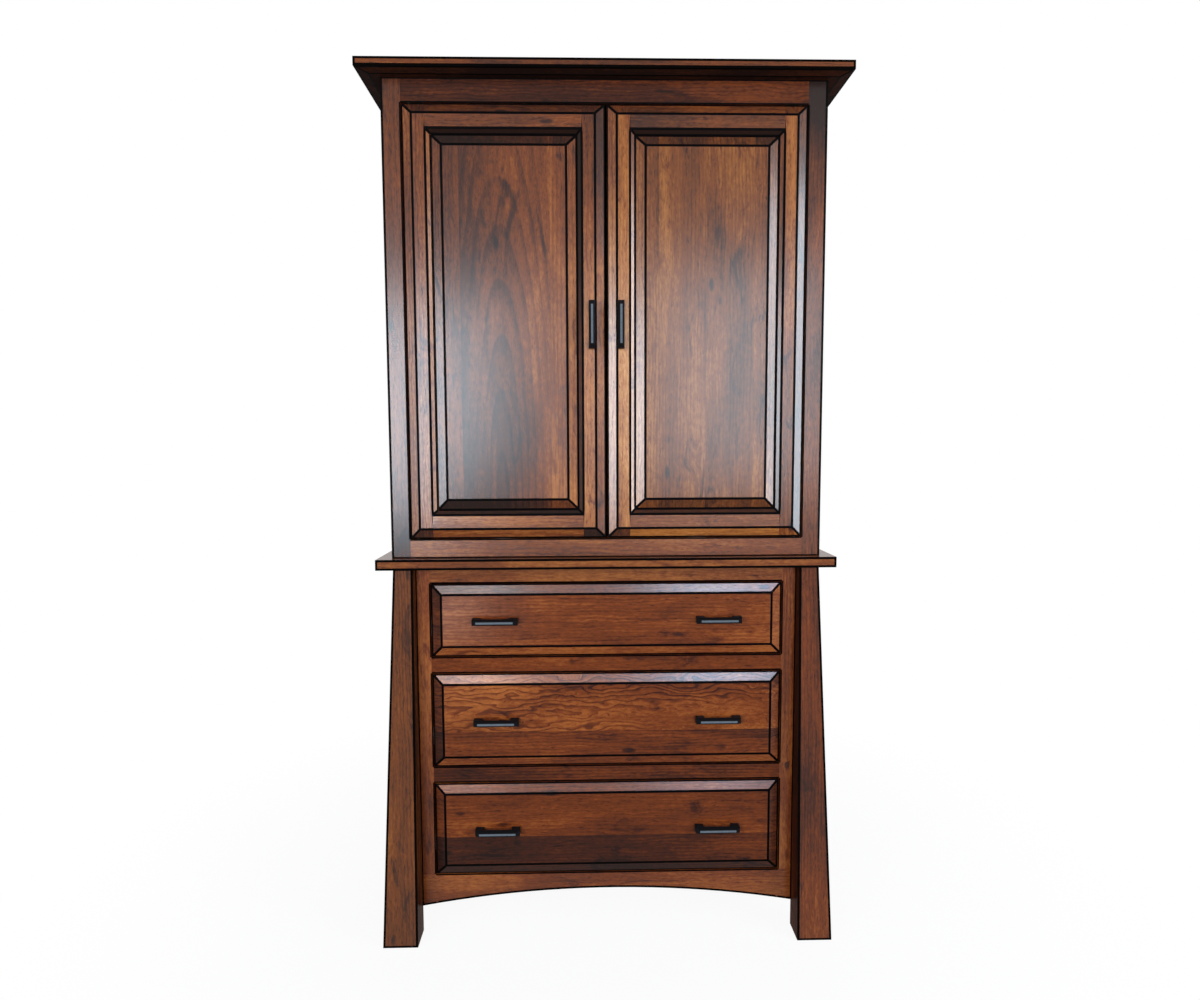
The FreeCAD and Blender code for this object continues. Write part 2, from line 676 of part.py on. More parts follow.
def build_base_frame():
    depth = ("base_face_y", "base_inner_y")
    stile = block("base_stile", ("opening_half", "frame_half"), depth, ("apron_top", "ledge_low"))
    node(group("base_stile_pair", [stile, mirror("base_left_stile", stile)]), "base_stiles")
    rail = block("base_top_rail_board", span("opening_half"), depth, ("top_drawer_high", "ledge_low"))
    node(rail, "base_top_rail")
    dividers = []
    for above, below in (("top_drawer_low", "middle_drawer_high"),
                         ("middle_drawer_low", "bottom_drawer_high")):
        dividers.append(block(below + "_divider", span("opening_half"), depth, (below, above)))
    node(group("dividers", dividers), "drawer_rails")


def build_apron():
    """A board between the front legs with an arch cut in its lower edge."""
    body = doc.addObject("PartDesign::Body", "apron_body")
    sketch = body.newObject("Sketcher::SketchObject", "apron_outline")
    sketch.AttachmentSupport = [(plane_of(body, "XZ_Plane"), "")]
    sketch.MapMode = "FlatFace"
    doc.recompute()
    half, low, high = measure("frame_half"), measure("apron_low"), measure("apron_top")
    left_low, left_high = FreeCAD.Vector(-half, low, 0), FreeCAD.Vector(-half, high, 0)
    right_low, right_high = FreeCAD.Vector(half, low, 0), FreeCAD.Vector(half, high, 0)
    crown = FreeCAD.Vector(0, measure("apron_low + arch_rise"), 0)
    sketch.addGeometry(Part.LineSegment(left_low, left_high), False)
    sketch.addGeometry(Part.LineSegment(left_high, right_high), False)
    sketch.addGeometry(Part.LineSegment(right_high, right_low), False)
    sketch.addGeometry(Part.Arc(right_low, crown, left_low), False)
    sketch.addConstraint(Sketcher.Constraint("Coincident", 0, 2, 1, 1))
    sketch.addConstraint(Sketcher.Constraint("Coincident", 1, 2, 2, 1))
    sketch.addConstraint(Sketcher.Constraint("Coincident", 2, 2, 3, 1))
    sketch.addConstraint(Sketcher.Constraint("Coincident", 3, 2, 0, 1))
    sketch.addConstraint(Sketcher.Constraint("Vertical", 0))
    sketch.addConstraint(Sketcher.Constraint("Horizontal", 1))
    sketch.addConstraint(Sketcher.Constraint("Vertical", 2))
    sketch.addConstraint(Sketcher.Constraint("Symmetric", 0, 1, 2, 2, -2))
    radius = "(frame_half ^ 2 + arch_rise ^ 2) / (2 * arch_rise)"
    for kind, places, text in (
            ("DistanceX", (0, 2, 1, 2), "2 * frame_half"),
            ("DistanceY", (-1, 1, 0, 1), "apron_low"),
            ("DistanceY", (0, 1, 0, 2), "apron_end_height"),
            ("Radius", (3,), radius)):
        index = sketch.addConstraint(Sketcher.Constraint(kind, *places, measure(text)))
        sketch.setExpression("Constraints[%d]" % index, spell(text))
    board = body.newObject("PartDesign::Pad", "apron_board")
    board.Profile = sketch
    bind(board, Length="base_frame_thickness")
    move(body, y="base_inner_y")
    node(body, "apron")


def member(name, x, z, web_outside):
    """A steel channel with its web on the outer or the inner side of the x span."""
    y = ("base_inner_y", "slide_back_y")
    low, high = z
    stock = block(name + "_stock", x, y, z)
    inner_x = (x[0], x[1] + " - slide_wall") if web_outside else (x[0] + " + slide_wall", x[1])
    hollow = block(name + "_hollow", inner_x, y, (low + " + slide_wall", high + " - slide_wall"))
    return cut(name, stock, [hollow])


def pair(name, item):
    return [item, mirror(name + "_left", item)]


def build_slides(drawer, low):
    """The three nested members of a drawer's slides, and the cleats that carry them."""
    middle = "%s + drawer_floor_room + slide_lift" % low
    half = "slide_height / 2"
    nest = "(slide_wall + slide_play)"

    def level(steps):
        drop = "%s - %d * %s" % (half, steps, nest)
        return ("%s - (%s)" % (middle, drop), "%s + (%s)" % (middle, drop))
    fixed = member(drawer + "_cabinet_member", ("opening_half - slide_flange", "opening_half"),
                   level(0), True)
    sliding = member(drawer + "_middle_member", ("box_half + %s" % nest, "opening_half - %s" % nest),
                     level(1), True)
    carried = member(drawer + "_drawer_member", ("box_half", "opening_half - 2 * %s" % nest),
                     level(2), False)
    node(group(drawer + "_middle_pair", pair(drawer + "_middle_member", sliding)),
         drawer + "_middle_slides")
    node(group(drawer + "_drawer_pair", pair(drawer + "_drawer_member", carried)), drawer + "_slides")
    cleat = block(drawer + "_cleat", ("opening_half", "frame_half"), ("base_inner_y", "base_lining_y"),
                  ("%s - cleat_height / 2" % middle, "%s + cleat_height / 2" % middle))
    return pair(drawer + "_cabinet_member", fixed), pair(drawer + "_cleat", cleat)


def dovetail_pins(name, y, low, high, wide_at_back):
    """The pins of one end board, from side to side of the box; the outer ones are half pins."""
    narrow, wide = "dovetail_pin / 2", "dovetail_pin / 2 + dovetail_flare"
    near, far = (narrow, wide) if wide_at_back else (wide, narrow)
    x = span("box_half")
    tails = max(1, round(measure(less(low, high)) / measure("dovetail_pitch")))
    pins = []
    for index in range(tails + 1):
        centre = "%s + (%s) * %d / %d" % (low, less(low, high), index, tails)
        outlines = []
        for reach in (near, far):
            bottom = low if index == 0 else "%s - (%s)" % (centre, reach)
            top = high if index == tails else "%s + (%s)" % (centre, reach)
            outlines.append((x, (bottom, top)))
        pins.append(frustum("%s_pin_%d" % (name, index), y, *outlines))
    return pins


def build_drawer(drawer, low, high):
    box_low, box_high = low + " + drawer_floor_room", high + " - drawer_head_room"
    middle = "(%s + %s) / 2" % (low, high)
    front_z = (low + " + drawer_gap", high + " - drawer_gap")
    end_inner_y = "drawer_back_y + drawer_end_thickness"
    pulls, holes = [], []
    for side, x in (("right", "drawer_pull_spread"), ("left", "-drawer_pull_spread")):
        name = "%s_%s_pull" % (drawer, side)
        pieces, bores = build_pull(name, x, "drawer_face_y", middle, False, end_inner_y)
        pulls += pieces
        holes += bores
    node(group(drawer + "_pull_set", pulls), drawer + "_pulls")

    slab = joined(drawer + "_slab", [
        block(drawer + "_edge", span("front_half"), ("base_face_y", "drawer_back_y"), front_z),
        frustum(drawer + "_bevel", ("drawer_face_y", "base_face_y"),
                (span("front_half - drawer_bevel_width"),
                 (front_z[0] + " + drawer_bevel_width", front_z[1] + " - drawer_bevel_width")),
                (span("front_half"), front_z))])
    node(cut(drawer + "_face", slab, holes), drawer + "_front")

    floor_z = box_low + " + drawer_bottom_lift"
    floor = block(drawer + "_floor", span("box_inner_half + drawer_groove_depth"),
                  (end_inner_y + " - drawer_groove_depth",
                   "box_back_y - drawer_end_thickness + drawer_groove_depth"),
                  (floor_z, floor_z + " + drawer_bottom_thickness"))
    ends, pins = [], []
    for name, y, wide_at_back in (
            ("fore_end", ("drawer_back_y", end_inner_y), True),
            ("rear_end", ("box_back_y - drawer_end_thickness", "box_back_y"), False)):
        name = drawer + "_" + name
        own_pins = dovetail_pins(name, y, box_low, box_high, wide_at_back)
        board = block(name + "_board", span("box_inner_half"), y, (box_low, box_high))
        cutters = [floor] + (holes if wide_at_back else [])
        ends.append(cut(name, joined(name + "_pinned", [board] + own_pins), cutters))
        pins += own_pins
    board = block(drawer + "_side_board", ("box_inner_half", "box_half"), ("drawer_back_y", "box_back_y"),
                  (box_low, box_high))
    side = cut(drawer + "_side", board, pins + [floor])
    walls = [side, mirror(drawer + "_left_side", side)] + ends
    node(group(drawer + "_walls", walls + [floor]), drawer + "_box")


# Each drawer and the lower and upper edge of its opening.
DRAWERS = (
    ("top_drawer", "top_drawer_low", "top_drawer_high"),
    ("middle_drawer", "middle_drawer_low", "middle_drawer_high"),
    ("bottom_drawer", "bottom_drawer_low", "bottom_drawer_high"),
)


def build_drawers():
    members, cleats = [], []
    for drawer, low, high in DRAWERS:
        build_drawer(drawer, low, high)
        fixed, wood = build_slides(drawer, low)
        members += fixed
        cleats += wood
    node(group("cabinet_members", members), "cabinet_slides")
    node(group("cleats", cleats), "slide_cleats")


def write_parts():
    """Check every object, then write each sub-part to its own file."""
    doc.recompute()
    failed = [item.Name for item in doc.Objects if "Invalid" in item.State or "Error" in item.State]
    failed += [item.Label for item in NODES if item.Shape.isNull() or not item.Shape.isValid()]
    if failed:
        raise RuntimeError("failed: " + ", ".join(failed))
    os.makedirs("parts", exist_ok=True)
    for item in NODES:
        item.Shape.exportStep("parts/%s.step" % item.Label)


fill_sheet()
build_crown()
build_upper_case()
build_back_and_ports()
build_shelf()
case_mortises, door_mortises = build_hinges()
build_upper_frame(case_mortises)
build_catches()
build_door_frame(door_mortises)
build_door_panel()
build_ledge_and_legs()
build_base_case()
build_base_frame()
build_apron()
build_drawers()
write_parts()
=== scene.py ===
import json
import math
import random
from functools import partial
from typing import NamedTuple

import bmesh
import bpy
from bpy.props import FloatProperty, FloatVectorProperty, IntProperty, PointerProperty
from mathutils import Matrix, Vector
from mathutils.bvhtree import BVHTree


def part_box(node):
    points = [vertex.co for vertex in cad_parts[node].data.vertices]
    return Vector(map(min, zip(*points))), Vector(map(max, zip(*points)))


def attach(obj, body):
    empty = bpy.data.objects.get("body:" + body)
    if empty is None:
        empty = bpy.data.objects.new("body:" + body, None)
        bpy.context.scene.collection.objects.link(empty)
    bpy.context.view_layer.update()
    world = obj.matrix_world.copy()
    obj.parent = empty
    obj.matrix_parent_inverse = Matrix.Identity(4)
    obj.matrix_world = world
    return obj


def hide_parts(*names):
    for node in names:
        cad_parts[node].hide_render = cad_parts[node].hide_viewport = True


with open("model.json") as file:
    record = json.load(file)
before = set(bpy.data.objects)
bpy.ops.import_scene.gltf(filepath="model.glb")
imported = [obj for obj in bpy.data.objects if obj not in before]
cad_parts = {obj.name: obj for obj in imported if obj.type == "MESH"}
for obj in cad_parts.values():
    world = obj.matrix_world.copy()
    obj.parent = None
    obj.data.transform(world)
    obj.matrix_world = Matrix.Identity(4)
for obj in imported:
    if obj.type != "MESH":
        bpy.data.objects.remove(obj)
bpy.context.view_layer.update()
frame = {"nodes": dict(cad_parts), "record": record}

bl_info = {
    "name": "Armoire finish",
    "version": (1, 0, 0),
    "blender": (4, 5, 0),
    "location": "View3D > Sidebar > Armoire",
    "description": "Finishes a two-door armoire on a base of drawers in stained wood and dark hardware",
    "category": "Object",
}

BODY_OF = {node: body for body, nodes in frame["record"]["behaviour"]["bodies"].items() for node in nodes}
SLOT_OF = {part["node"]: part["material_slot"] for part in frame["record"]["subparts"]}
WOOD_SLOTS = ("cabinet_wood", "drawer_wood", "back_panel_wood")

# Boards whose outside shows, and boards that only show when something is opened.
CASE_BOARDS = ("crown_top", "upper_stiles", "upper_top_rail", "upper_bottom_rail", "upper_left_side",
               "upper_right_side")
BASE_BOARDS = ("base_top", "front_left_leg", "front_right_leg", "rear_left_leg", "rear_right_leg",
               "base_stiles", "base_top_rail", "drawer_rails", "apron", "base_left_side", "base_right_side")
INNER_BOARDS = ("upper_top_panel", "desk_deck", "monitor_shelf")
BACK_PANELS = ("upper_back_panel", "base_back_panel")
DOORS = ("left_door", "right_door")
DOOR_BOARDS = ["%s_%s" % (door, board) for door in DOORS
               for board in ("hinge_stile", "meeting_stile", "top_rail", "bottom_rail", "panel")]
DRAWERS = ("top_drawer", "middle_drawer", "bottom_drawer")
DRAWER_FRONTS = [drawer + "_front" for drawer in DRAWERS]
DRILLED = ["left_door_meeting_stile", "right_door_meeting_stile", *DRAWER_FRONTS]

# Lengths by which the boards are read, in metres.
MERGE = 1e-5  # corners closer than this are one
TOUCH = 0.0005  # boards closer than this touch
PROBE = 0.001  # how far beside an edge a neighbour is looked for
GAP = 0.005  # boards closer than this face each other across a gap
SHORT_EDGE = 0.006  # edges shorter than this are rims of holes
RIM_EDGE = 0.0015  # edges shorter than this are rims of screw holes
SCREW_HOLE = 0.00205  # radius of the holes for a pull's screws
SLIDE_WEB = 0.0015  # thickness of a slide's steel
CORNER_DIGITS, JOINT_DIGITS = 6, 5  # decimals to which corners and joints are compared

# Turns and directions by which the faces are read.
FLAT = math.radians(0.5)  # faces that turn less than this are one face
CREASE = math.radians(6)  # edges that turn more than this are eased
SHALLOW = math.cos(math.radians(20))  # cosine of the turn up to which an eased crease is a shallow one
FACING = 0.99  # cosine of the turn up to which a face looks straight ahead
ASLANT = 0.3  # least part of its length that a slanting edge runs both across and up
CURVED = 8  # faces whose sides run in more directions than this have a curved side
STRAY = Vector((0.317, 0.571, 0.757)).normalized()  # a direction in which no board lies

# The materials of a board and of a pull, in the order in which their meshes hold them.
WOOD, GLAZE, DULL, BARE = range(4)
PULL_FRONT, PULL_EDGES = range(2)
BAR_FRONT = 1e-4  # area above which a face that looks ahead is the front of a pull's bar, in square metres

# A screw's head, with its cross by the head's radius and height.
HEAD_SIDES = 20
HEAD_TAPER = 0.7  # share of the radius that is left at the top
CROSS_LENGTH, CROSS_WIDTH, CROSS_DEPTH = 1.1, 0.24, 1.2
SCREW_INSET = 2.4  # from a panel's edge, in radii of the head
X, Z = 0, 2  # the axes along a panel

# Kinds of setting that come up often.
ColourProperty = partial(FloatVectorProperty, subtype="COLOR", min=0, max=1)
LengthProperty = partial(FloatProperty, unit="LENGTH")
AngleProperty = partial(FloatProperty, subtype="ANGLE")
ShareProperty = partial(FloatProperty, subtype="FACTOR", min=0, max=1)


class WoodSettings(bpy.types.PropertyGroup):
    """Stain, figure and lacquer of the wood."""
    pale: ColourProperty(name="Pale", description="Stain on the palest wood", default=(0.62, 0.25, 0.08))
    light: ColourProperty(name="Light", description="Stain on light wood", default=(0.36, 0.108, 0.024))
    middle: ColourProperty(name="Middle", description="Stain on most wood", default=(0.165, 0.037, 0.0095))
    dark: ColourProperty(name="Dark", description="Stain on dark streaks", default=(0.056, 0.0145, 0.007))
    blotch: ColourProperty(name="Blotch", description="Stain where it soaked in most",
                           default=(0.018, 0.0075, 0.0058))
    gold: FloatVectorProperty(name="Gold", description="What a golden board has more of red, green and blue",
                              default=(-0.06, 0.36, 0.3))
    ring: LengthProperty(name="Ring", description="Width of a growth ring", default=0.008)
    stave: LengthProperty(name="Stave", description="Usual width of a glued strip", default=0.095)
    gloss: ShareProperty(name="Roughness", description="Roughness of the lacquer", default=0.23)
    satin: ShareProperty(name="Satin", description="Specular level of the satin lacquer", default=0.25)
    dull: ShareProperty(name="Dull", description="Specular level where it is rubbed dull", default=0.1)
    bare: ShareProperty(name="Bare", description="Specular level with hardly any lacquer", default=0.0018)
    maple_light: ColourProperty(name="Box light", description="Pale wood of the drawer boxes",
                                default=(0.66, 0.45, 0.25))
    maple_dark: ColourProperty(name="Box dark", description="Streaks in the drawer boxes",
                               default=(0.43, 0.25, 0.12))
    ply_light: ColourProperty(name="Panel light", description="Pale veneer of the back panels",
                              default=(0.42, 0.19, 0.078))
    ply_dark: ColourProperty(name="Panel dark", description="Streaks in the veneer",
                             default=(0.1, 0.036, 0.016))


class EdgeSettings(bpy.types.PropertyGroup):
    """Eased edges and the dark glaze along them."""
    easing: LengthProperty(name="Easing", description="Radius of an eased edge", default=0.0009)
    line: LengthProperty(name="Line", description="Glaze on each side of a crease or a gap", default=0.003)
    border: LengthProperty(name="Border", description="Glaze along an outer edge", default=0.0055)
    glaze: ColourProperty(name="Glaze", description="Colour of the glaze", default=(0.0015, 0.0011, 0.001))


class HardwareSettings(bpy.types.PropertyGroup):
    """Colours of the metal and plastic pieces, and the sizes of the screws."""
    # Painted highlight: the front of the pulls is a paler, bluer bronze than their near-black edges.
    bronze: ColourProperty(name="Bronze", description="Front of the pulls", default=(0.14, 0.175, 0.215))
    bronze_dark: ColourProperty(name="Dark bronze", description="Edges of the pulls",
                                default=(0.005, 0.005, 0.006))
    steel: ColourProperty(name="Steel", description="Slides and screws", default=(0.56, 0.57, 0.58))
    brass: ColourProperty(name="Brass", description="Hinges", default=(0.03, 0.02, 0.011))
    nickel: ColourProperty(name="Nickel", description="Shelf pins", default=(0.62, 0.61, 0.58))
    plastic: ColourProperty(name="Plastic", description="Grommets and catches", default=(0.035, 0.024, 0.02))
    pull_border: LengthProperty(name="Pull border", description="Dark border round a pull's front",
                                default=0.0019)
    screw_radius: LengthProperty(name="Screw", description="Radius of a screw's head", default=0.0042)
    screw_height: LengthProperty(name="Screw height", description="Height of a screw's head", default=0.0016)
    panel_pitch: LengthProperty(name="Panel screws", description="About how far apart the panel screws are",
                                default=0.16)
    slide_screws: IntProperty(name="Slide screws", description="Screws in each slide", default=4, min=2)


class StageSettings(bpy.types.PropertyGroup):
    """The photograph's camera, and the floor and the room."""
    camera: FloatVectorProperty(name="Camera", description="Where the photograph was taken from",
                                subtype="XYZ", unit="LENGTH", default=(-0.05535, -2.0007, 1.19794))
    pitch: AngleProperty(name="Pitch", description="Upward tilt of the camera", default=math.radians(-4.493))
    yaw: AngleProperty(name="Yaw", description="Turn of the camera to the right", default=math.radians(1.294))
    roll: AngleProperty(name="Roll", description="Turn of the camera about its view",
                        default=math.radians(-0.218))
    sensor: FloatProperty(name="Sensor", description="Width of the sensor in millimetres", default=36)
    lens: FloatProperty(name="Lens", description="Focal length in millimetres", default=22.414)
    floor: ColourProperty(name="Floor", description="Colour of the floor", default=(0.86, 0.86, 0.86))
    bounce: ColourProperty(name="Bounce", description="Floor as it lights the underside",
                           default=(0.14, 0.13, 0.12))
    daylight: ColourProperty(name="Daylight", description="Colour of the lamps", default=(0.84, 0.92, 1.0))
    fill: FloatProperty(name="Fill", description="Even light from all round", default=0.2, min=0)
    floor_radius: LengthProperty(name="Floor size", description="Radius of the round floor", default=1.6)
    floor_sides: IntProperty(name="Floor sides", description="Sides of the round floor", default=128, min=3)
    shadow_reach: LengthProperty(name="Shadow", description="How far out the floor keeps all its shadow",
                                 default=0.55)
    whiteness: ShareProperty(name="Whiteness", description="How white the floor is where it keeps its shadow",
                             default=0.93)


class ArmoireSettings(bpy.types.PropertyGroup):
    """All that can be set for the armoire."""
    wood: PointerProperty(type=WoodSettings)
    edges: PointerProperty(type=EdgeSettings)
    hardware: PointerProperty(type=HardwareSettings)
    stage: PointerProperty(type=StageSettings)


def settings():
    return bpy.context.scene.armoire


class Layer(NamedTuple):
    """A noise in a material: its repeats in a metre each way, its make, and from what to what it shows."""
    scale: tuple
    detail: float = 2
    rough: float = 0.5
    warp: float = 0
    shows: tuple = ()


class Graph:
    """A short way to lay out the nodes of a tree."""

    def __init__(self, tree):
        tree.nodes.clear()
        self.tree = tree

    def feed(self, socket, source):
        """Link a socket to another one or to each of a list, or set its value."""
        if isinstance(source, list):
            for one in source:
                self.feed(socket, one)
        elif isinstance(source, bpy.types.NodeSocket):
            self.tree.links.new(source, socket)
        else:
            socket.default_value = source

    def node(self, kind, inputs=(), **choices):
        """The outputs of a new node whose inputs are given in order or by their names."""
        made = self.tree.nodes.new(kind)
        for name, value in choices.items():
            setattr(made, name, value)
        for key, source in inputs.items() if isinstance(inputs, dict) else enumerate(inputs):
            self.feed(made.inputs[key], source)
        return made.outputs

    def math(self, operation, *terms):
        return self.node("ShaderNodeMath", terms, operation=operation)[0]

    def line(self, value, slope, start):
        return self.math("MULTIPLY_ADD", value, slope, start)

    def vector(self, operation, *terms):
        return self.node("ShaderNodeVectorMath", terms, operation=operation)["Vector"]

    def scaled(self, vector, factor):
        return self.node("ShaderNodeVectorMath", {0: vector, "Scale": factor}, operation="SCALE")["Vector"]

    def size(self, vector):
        return self.node("ShaderNodeVectorMath", (vector,), operation="LENGTH")["Value"]

    def triple(self, *parts):
        return self.node("ShaderNodeCombineXYZ", parts)[0]

    def parts(self, vector):
        return self.node("ShaderNodeSeparateXYZ", (vector,))

    def attribute(self, name):
        return self.node("ShaderNodeAttribute", attribute_name=name)["Vector"]

    def place(self):
        return self.node("ShaderNodeTexCoord")["Object"]

    def noise(self, vector, layer):
        return self.node("ShaderNodeTexNoise", {
            "Vector": self.vector("MULTIPLY", vector, layer.scale), "Scale": 1, "Detail": layer.detail,
            "Roughness": layer.rough, "Distortion": layer.warp})

    def layer(self, vector, layer):
        """How strong a layer is at each place."""
        value = self.noise(vector, layer)["Fac"]
        return self.between(value, *layer.shows) if layer.shows else value

    def between(self, value, low, high, to_low=0, to_high=1):
        """A value's smooth place between two others."""
        return self.node("ShaderNodeMapRange", (value, low, high, to_low, to_high),
                         interpolation_type="SMOOTHSTEP")[0]

    def ramp(self, value, stops):
        """The colour that a value has between the stops, each a place and a colour."""
        colours = self.node("ShaderNodeValToRGB", (value,))["Color"]
        elements = colours.node.color_ramp.elements
        for index, (place, colour) in enumerate(stops):
            element = elements[index] if index < len(elements) else elements.new(place)
            element.position = place
            element.color = (*colour, 1)
        return colours

    def bump(self, height, strength, distance):
        return self.node("ShaderNodeBump",
                         {"Strength": strength, "Distance": distance, "Height": height})["Normal"]

    def surface(self, colour, rough, level, **others):
        """Give the material a principled surface."""
        shader = self.node("ShaderNodeBsdfPrincipled", {
            "Base Color": colour, "Roughness": rough, "Specular IOR Level": level, **others})
        self.node("ShaderNodeOutputMaterial", (shader[0],))


def material(make):
    """The material that a function lays out, under the function's name, made when it is first asked for."""
    found = bpy.data.materials.get(make.__name__)
    if found is None:
        found = bpy.data.materials.new(make.__name__)
        found.use_nodes = True
        make(Graph(found.node_tree))
    return found


# The layers of a board's figure, by repeats along the grain, across it and through it.
SWAY = Layer((1.8, 9, 9))
SWIRL = Layer((9, 26, 26))
RING_SHOW = Layer((1.4, 11, 11), 1, shows=(0.34, 0.6))
FIBRE = Layer((16, 420, 420), 2, 0.6)
STREAK = Layer((3.2, 70, 70), 4, 0.62)
CLOUD = Layer((2.2, 8, 8), 2, 0.5, 0.6, shows=(0.3, 0.7))
PATCH = Layer((7, 24, 24), 4, 0.62, 1.0, shows=(0.56, 0.74))
FLECK = Layer((66, 140, 140), 2, 0.6)
PORE = Layer((55, 640, 640), 1, shows=(0.6, 0.74))
PATCH_SHIFT = (3.1, 1.7, 0.4)  # keeps the patches apart from the clouds
SWAY_REACH, SWIRL_REACH = 0.016, 0.03  # how far the grain wanders, in metres
LATE_START, LATE_PEAK = 0.4, 0.92  # where in a ring the late wood starts, and where it is darkest
KNOT_CELLS = (9, 24, 24)  # places for knots in a metre
KNOT_RIM = (0.2, 0.06)  # from where in its cell to where a knot darkens
KNOT_CHANCE = (0.84, 0.88)  # cells above this have one
# Stains from the palest to the darkest, and how deep in the wood each is reached.
STAINS = {"pale": 0, "light": 0.216, "middle": 0.488, "dark": 0.744, "blotch": 1}
PALE_DEPTH = 0.2  # depths below this are for boards paler than most
GRIT = Layer((220, 220, 220), 3, 0.6)
# How a mottled surface goes from dark to light: places in its noise, and shares of its colour.
GLAZE_TINTS = ((0.3, 1), (0.8, 2.2))
METAL_TINTS = ((0.25, 0.8), (0.75, 1.15))


class Figure:
    """What shows in a board: rings, fibres, streaks, clouds of stain, patches, flecks, pores and knots.

    All are read from the board's own grain: along it, across it and through it.
    """

    def __init__(self, graph):
        self.graph = graph
        grain = graph.attribute("grain")
        # The tone holds the stain and also the painted shade or painted light of each side.
        self.tone, curl, strength = graph.parts(graph.attribute("stave"))
        self.gold, wide = graph.parts(graph.attribute("finish"))[:2]
        sway = self.drift(grain, SWAY, SWAY_REACH)
        swirl = graph.scaled(self.drift(grain, SWIRL, SWIRL_REACH), curl)
        bent = graph.vector("ADD", graph.vector("ADD", grain, sway), swirl)
        radius = graph.size(graph.vector("MULTIPLY", bent, (0, 1, 1)))
        width = graph.math("MULTIPLY", wide, settings().wood.ring)
        turn = graph.math("FRACT", graph.math("DIVIDE", radius, width))
        late = graph.math("MULTIPLY", graph.between(turn, LATE_START, LATE_PEAK),
                          graph.between(turn, 1, LATE_PEAK))
        self.ring = graph.math("MULTIPLY", graph.math("MULTIPLY", late, strength),
                               graph.layer(grain, RING_SHOW))
        self.fibre = graph.layer(bent, FIBRE)
        self.streak = graph.layer(bent, STREAK)
        self.cloud = graph.layer(grain, CLOUD)
        self.patch = graph.layer(graph.vector("ADD", grain, PATCH_SHIFT), PATCH)
        self.fleck = graph.layer(grain, FLECK)
        self.pore = graph.layer(bent, PORE)
        cells = graph.node("ShaderNodeTexVoronoi",
                           {"Vector": graph.vector("MULTIPLY", grain, KNOT_CELLS), "Scale": 1})
        chosen = graph.between(graph.parts(cells["Color"])[0], *KNOT_CHANCE)
        self.knot = graph.math("MULTIPLY", graph.between(cells["Distance"], *KNOT_RIM), chosen)

    def drift(self, grain, layer, reach):
        """How far the grain wanders sideways and in depth."""
        noise = self.graph.noise(grain, layer)["Color"]
        return self.graph.vector("MULTIPLY", self.graph.vector("SUBTRACT", noise, (0.5, 0.5, 0.5)),
                                 (0, reach, reach))

    def sum(self, start, **shares):
        """The board's tone with a share of each part added."""
        total = self.graph.math("ADD", self.tone, start)
        for name, share in shares.items():
            total = self.graph.line(getattr(self, name), share, total)
        return total


def stained_wood(graph, level):
    """Hardwood under a brown stain that took unevenly, with a lacquer of some specular level."""
    wood = settings().wood
    wild = Figure(graph)
    dark = wild.sum(start=-0.43, ring=0.13, fibre=0.36, streak=0.44, cloud=0.3, patch=0.34, fleck=0.36,
                    pore=0.28, knot=0.45)
    depth = graph.line(dark, slope=1 - PALE_DEPTH, start=PALE_DEPTH)
    stain = graph.ramp(depth, [(place, getattr(wood, name)) for name, place in STAINS.items()])
    warm = graph.vector("ADD", graph.scaled(tuple(wood.gold), wild.gold), (1, 1, 1))
    lift = graph.line(wild.pore, slope=-0.8, start=wild.fibre)
    graph.surface(graph.vector("MULTIPLY", stain, warm),
                  graph.line(wild.fibre, slope=0.1, start=wood.gloss - 0.05), level,
                  Normal=graph.bump(lift, strength=0.12, distance=0.0004))


def satin_wood(graph):
    stained_wood(graph, settings().wood.satin)


def dull_wood(graph):
    stained_wood(graph, settings().wood.dull)


def bare_wood(graph):
    stained_wood(graph, settings().wood.bare)


def pale_wood(graph, light, dark):
    """Clear-lacquered wood with soft straight grain."""
    wild = Figure(graph)
    amount = wild.sum(start=-0.16, ring=0.3, fibre=0.34, streak=0.5, cloud=0.2, pore=0.2)
    graph.surface(graph.ramp(amount, [(0, light), (1, dark)]),
                  graph.line(wild.fibre, slope=0.14, start=0.36), settings().wood.satin,
                  Normal=graph.bump(wild.fibre, strength=0.15, distance=0.0004))


def box_maple(graph):
    pale_wood(graph, settings().wood.maple_light, settings().wood.maple_dark)


def back_veneer(graph):
    pale_wood(graph, settings().wood.ply_light, settings().wood.ply_dark)


def tinted(colour, tints):
    """The stops of a ramp through darker and lighter shades of a colour."""
    return [(place, [min(1, share * part) for part in colour]) for place, share in tints]


def edge_glaze(graph):
    """Near-black glaze left along creases and edges, a little uneven."""
    grit = graph.layer(graph.place(), GRIT)
    graph.surface(graph.ramp(grit, tinted(settings().edges.glaze, GLAZE_TINTS)),
                  graph.line(grit, slope=0.2, start=0.5), level=0.01)


def metal(graph, colour, rough, spread, scale, metallic=1, level=0.5):
    """Metal or plastic whose tone and polish vary a little from place to place."""
    mottle = graph.layer(graph.place(), Layer(scale, 3, 0.6))
    graph.surface(graph.ramp(mottle, tinted(colour, METAL_TINTS)),
                  graph.line(mottle, slope=spread, start=rough), level, Metallic=metallic,
                  Normal=graph.bump(mottle, strength=0.06, distance=0.0002))


# Painted highlight: a paler, bluer bronze for the front of a pull's bar, where it catches the light.
def pull_bronze(graph):
    metal(graph, settings().hardware.bronze, rough=0.24, spread=0.12, scale=(160, 160, 160))


def pull_edges(graph):
    metal(graph, settings().hardware.bronze_dark, rough=0.42, spread=0.2, scale=(260, 260, 260), metallic=0,
          level=0.08)


def slide_zinc(graph):
    metal(graph, settings().hardware.steel, rough=0.26, spread=0.2, scale=(90, 6, 90))


def aged_brass(graph):
    metal(graph, settings().hardware.brass, rough=0.46, spread=0.2, scale=(40, 300, 300), metallic=0.6,
          level=0.1)


def pin_nickel(graph):
    metal(graph, settings().hardware.nickel, rough=0.18, spread=0.14, scale=(200, 200, 200))


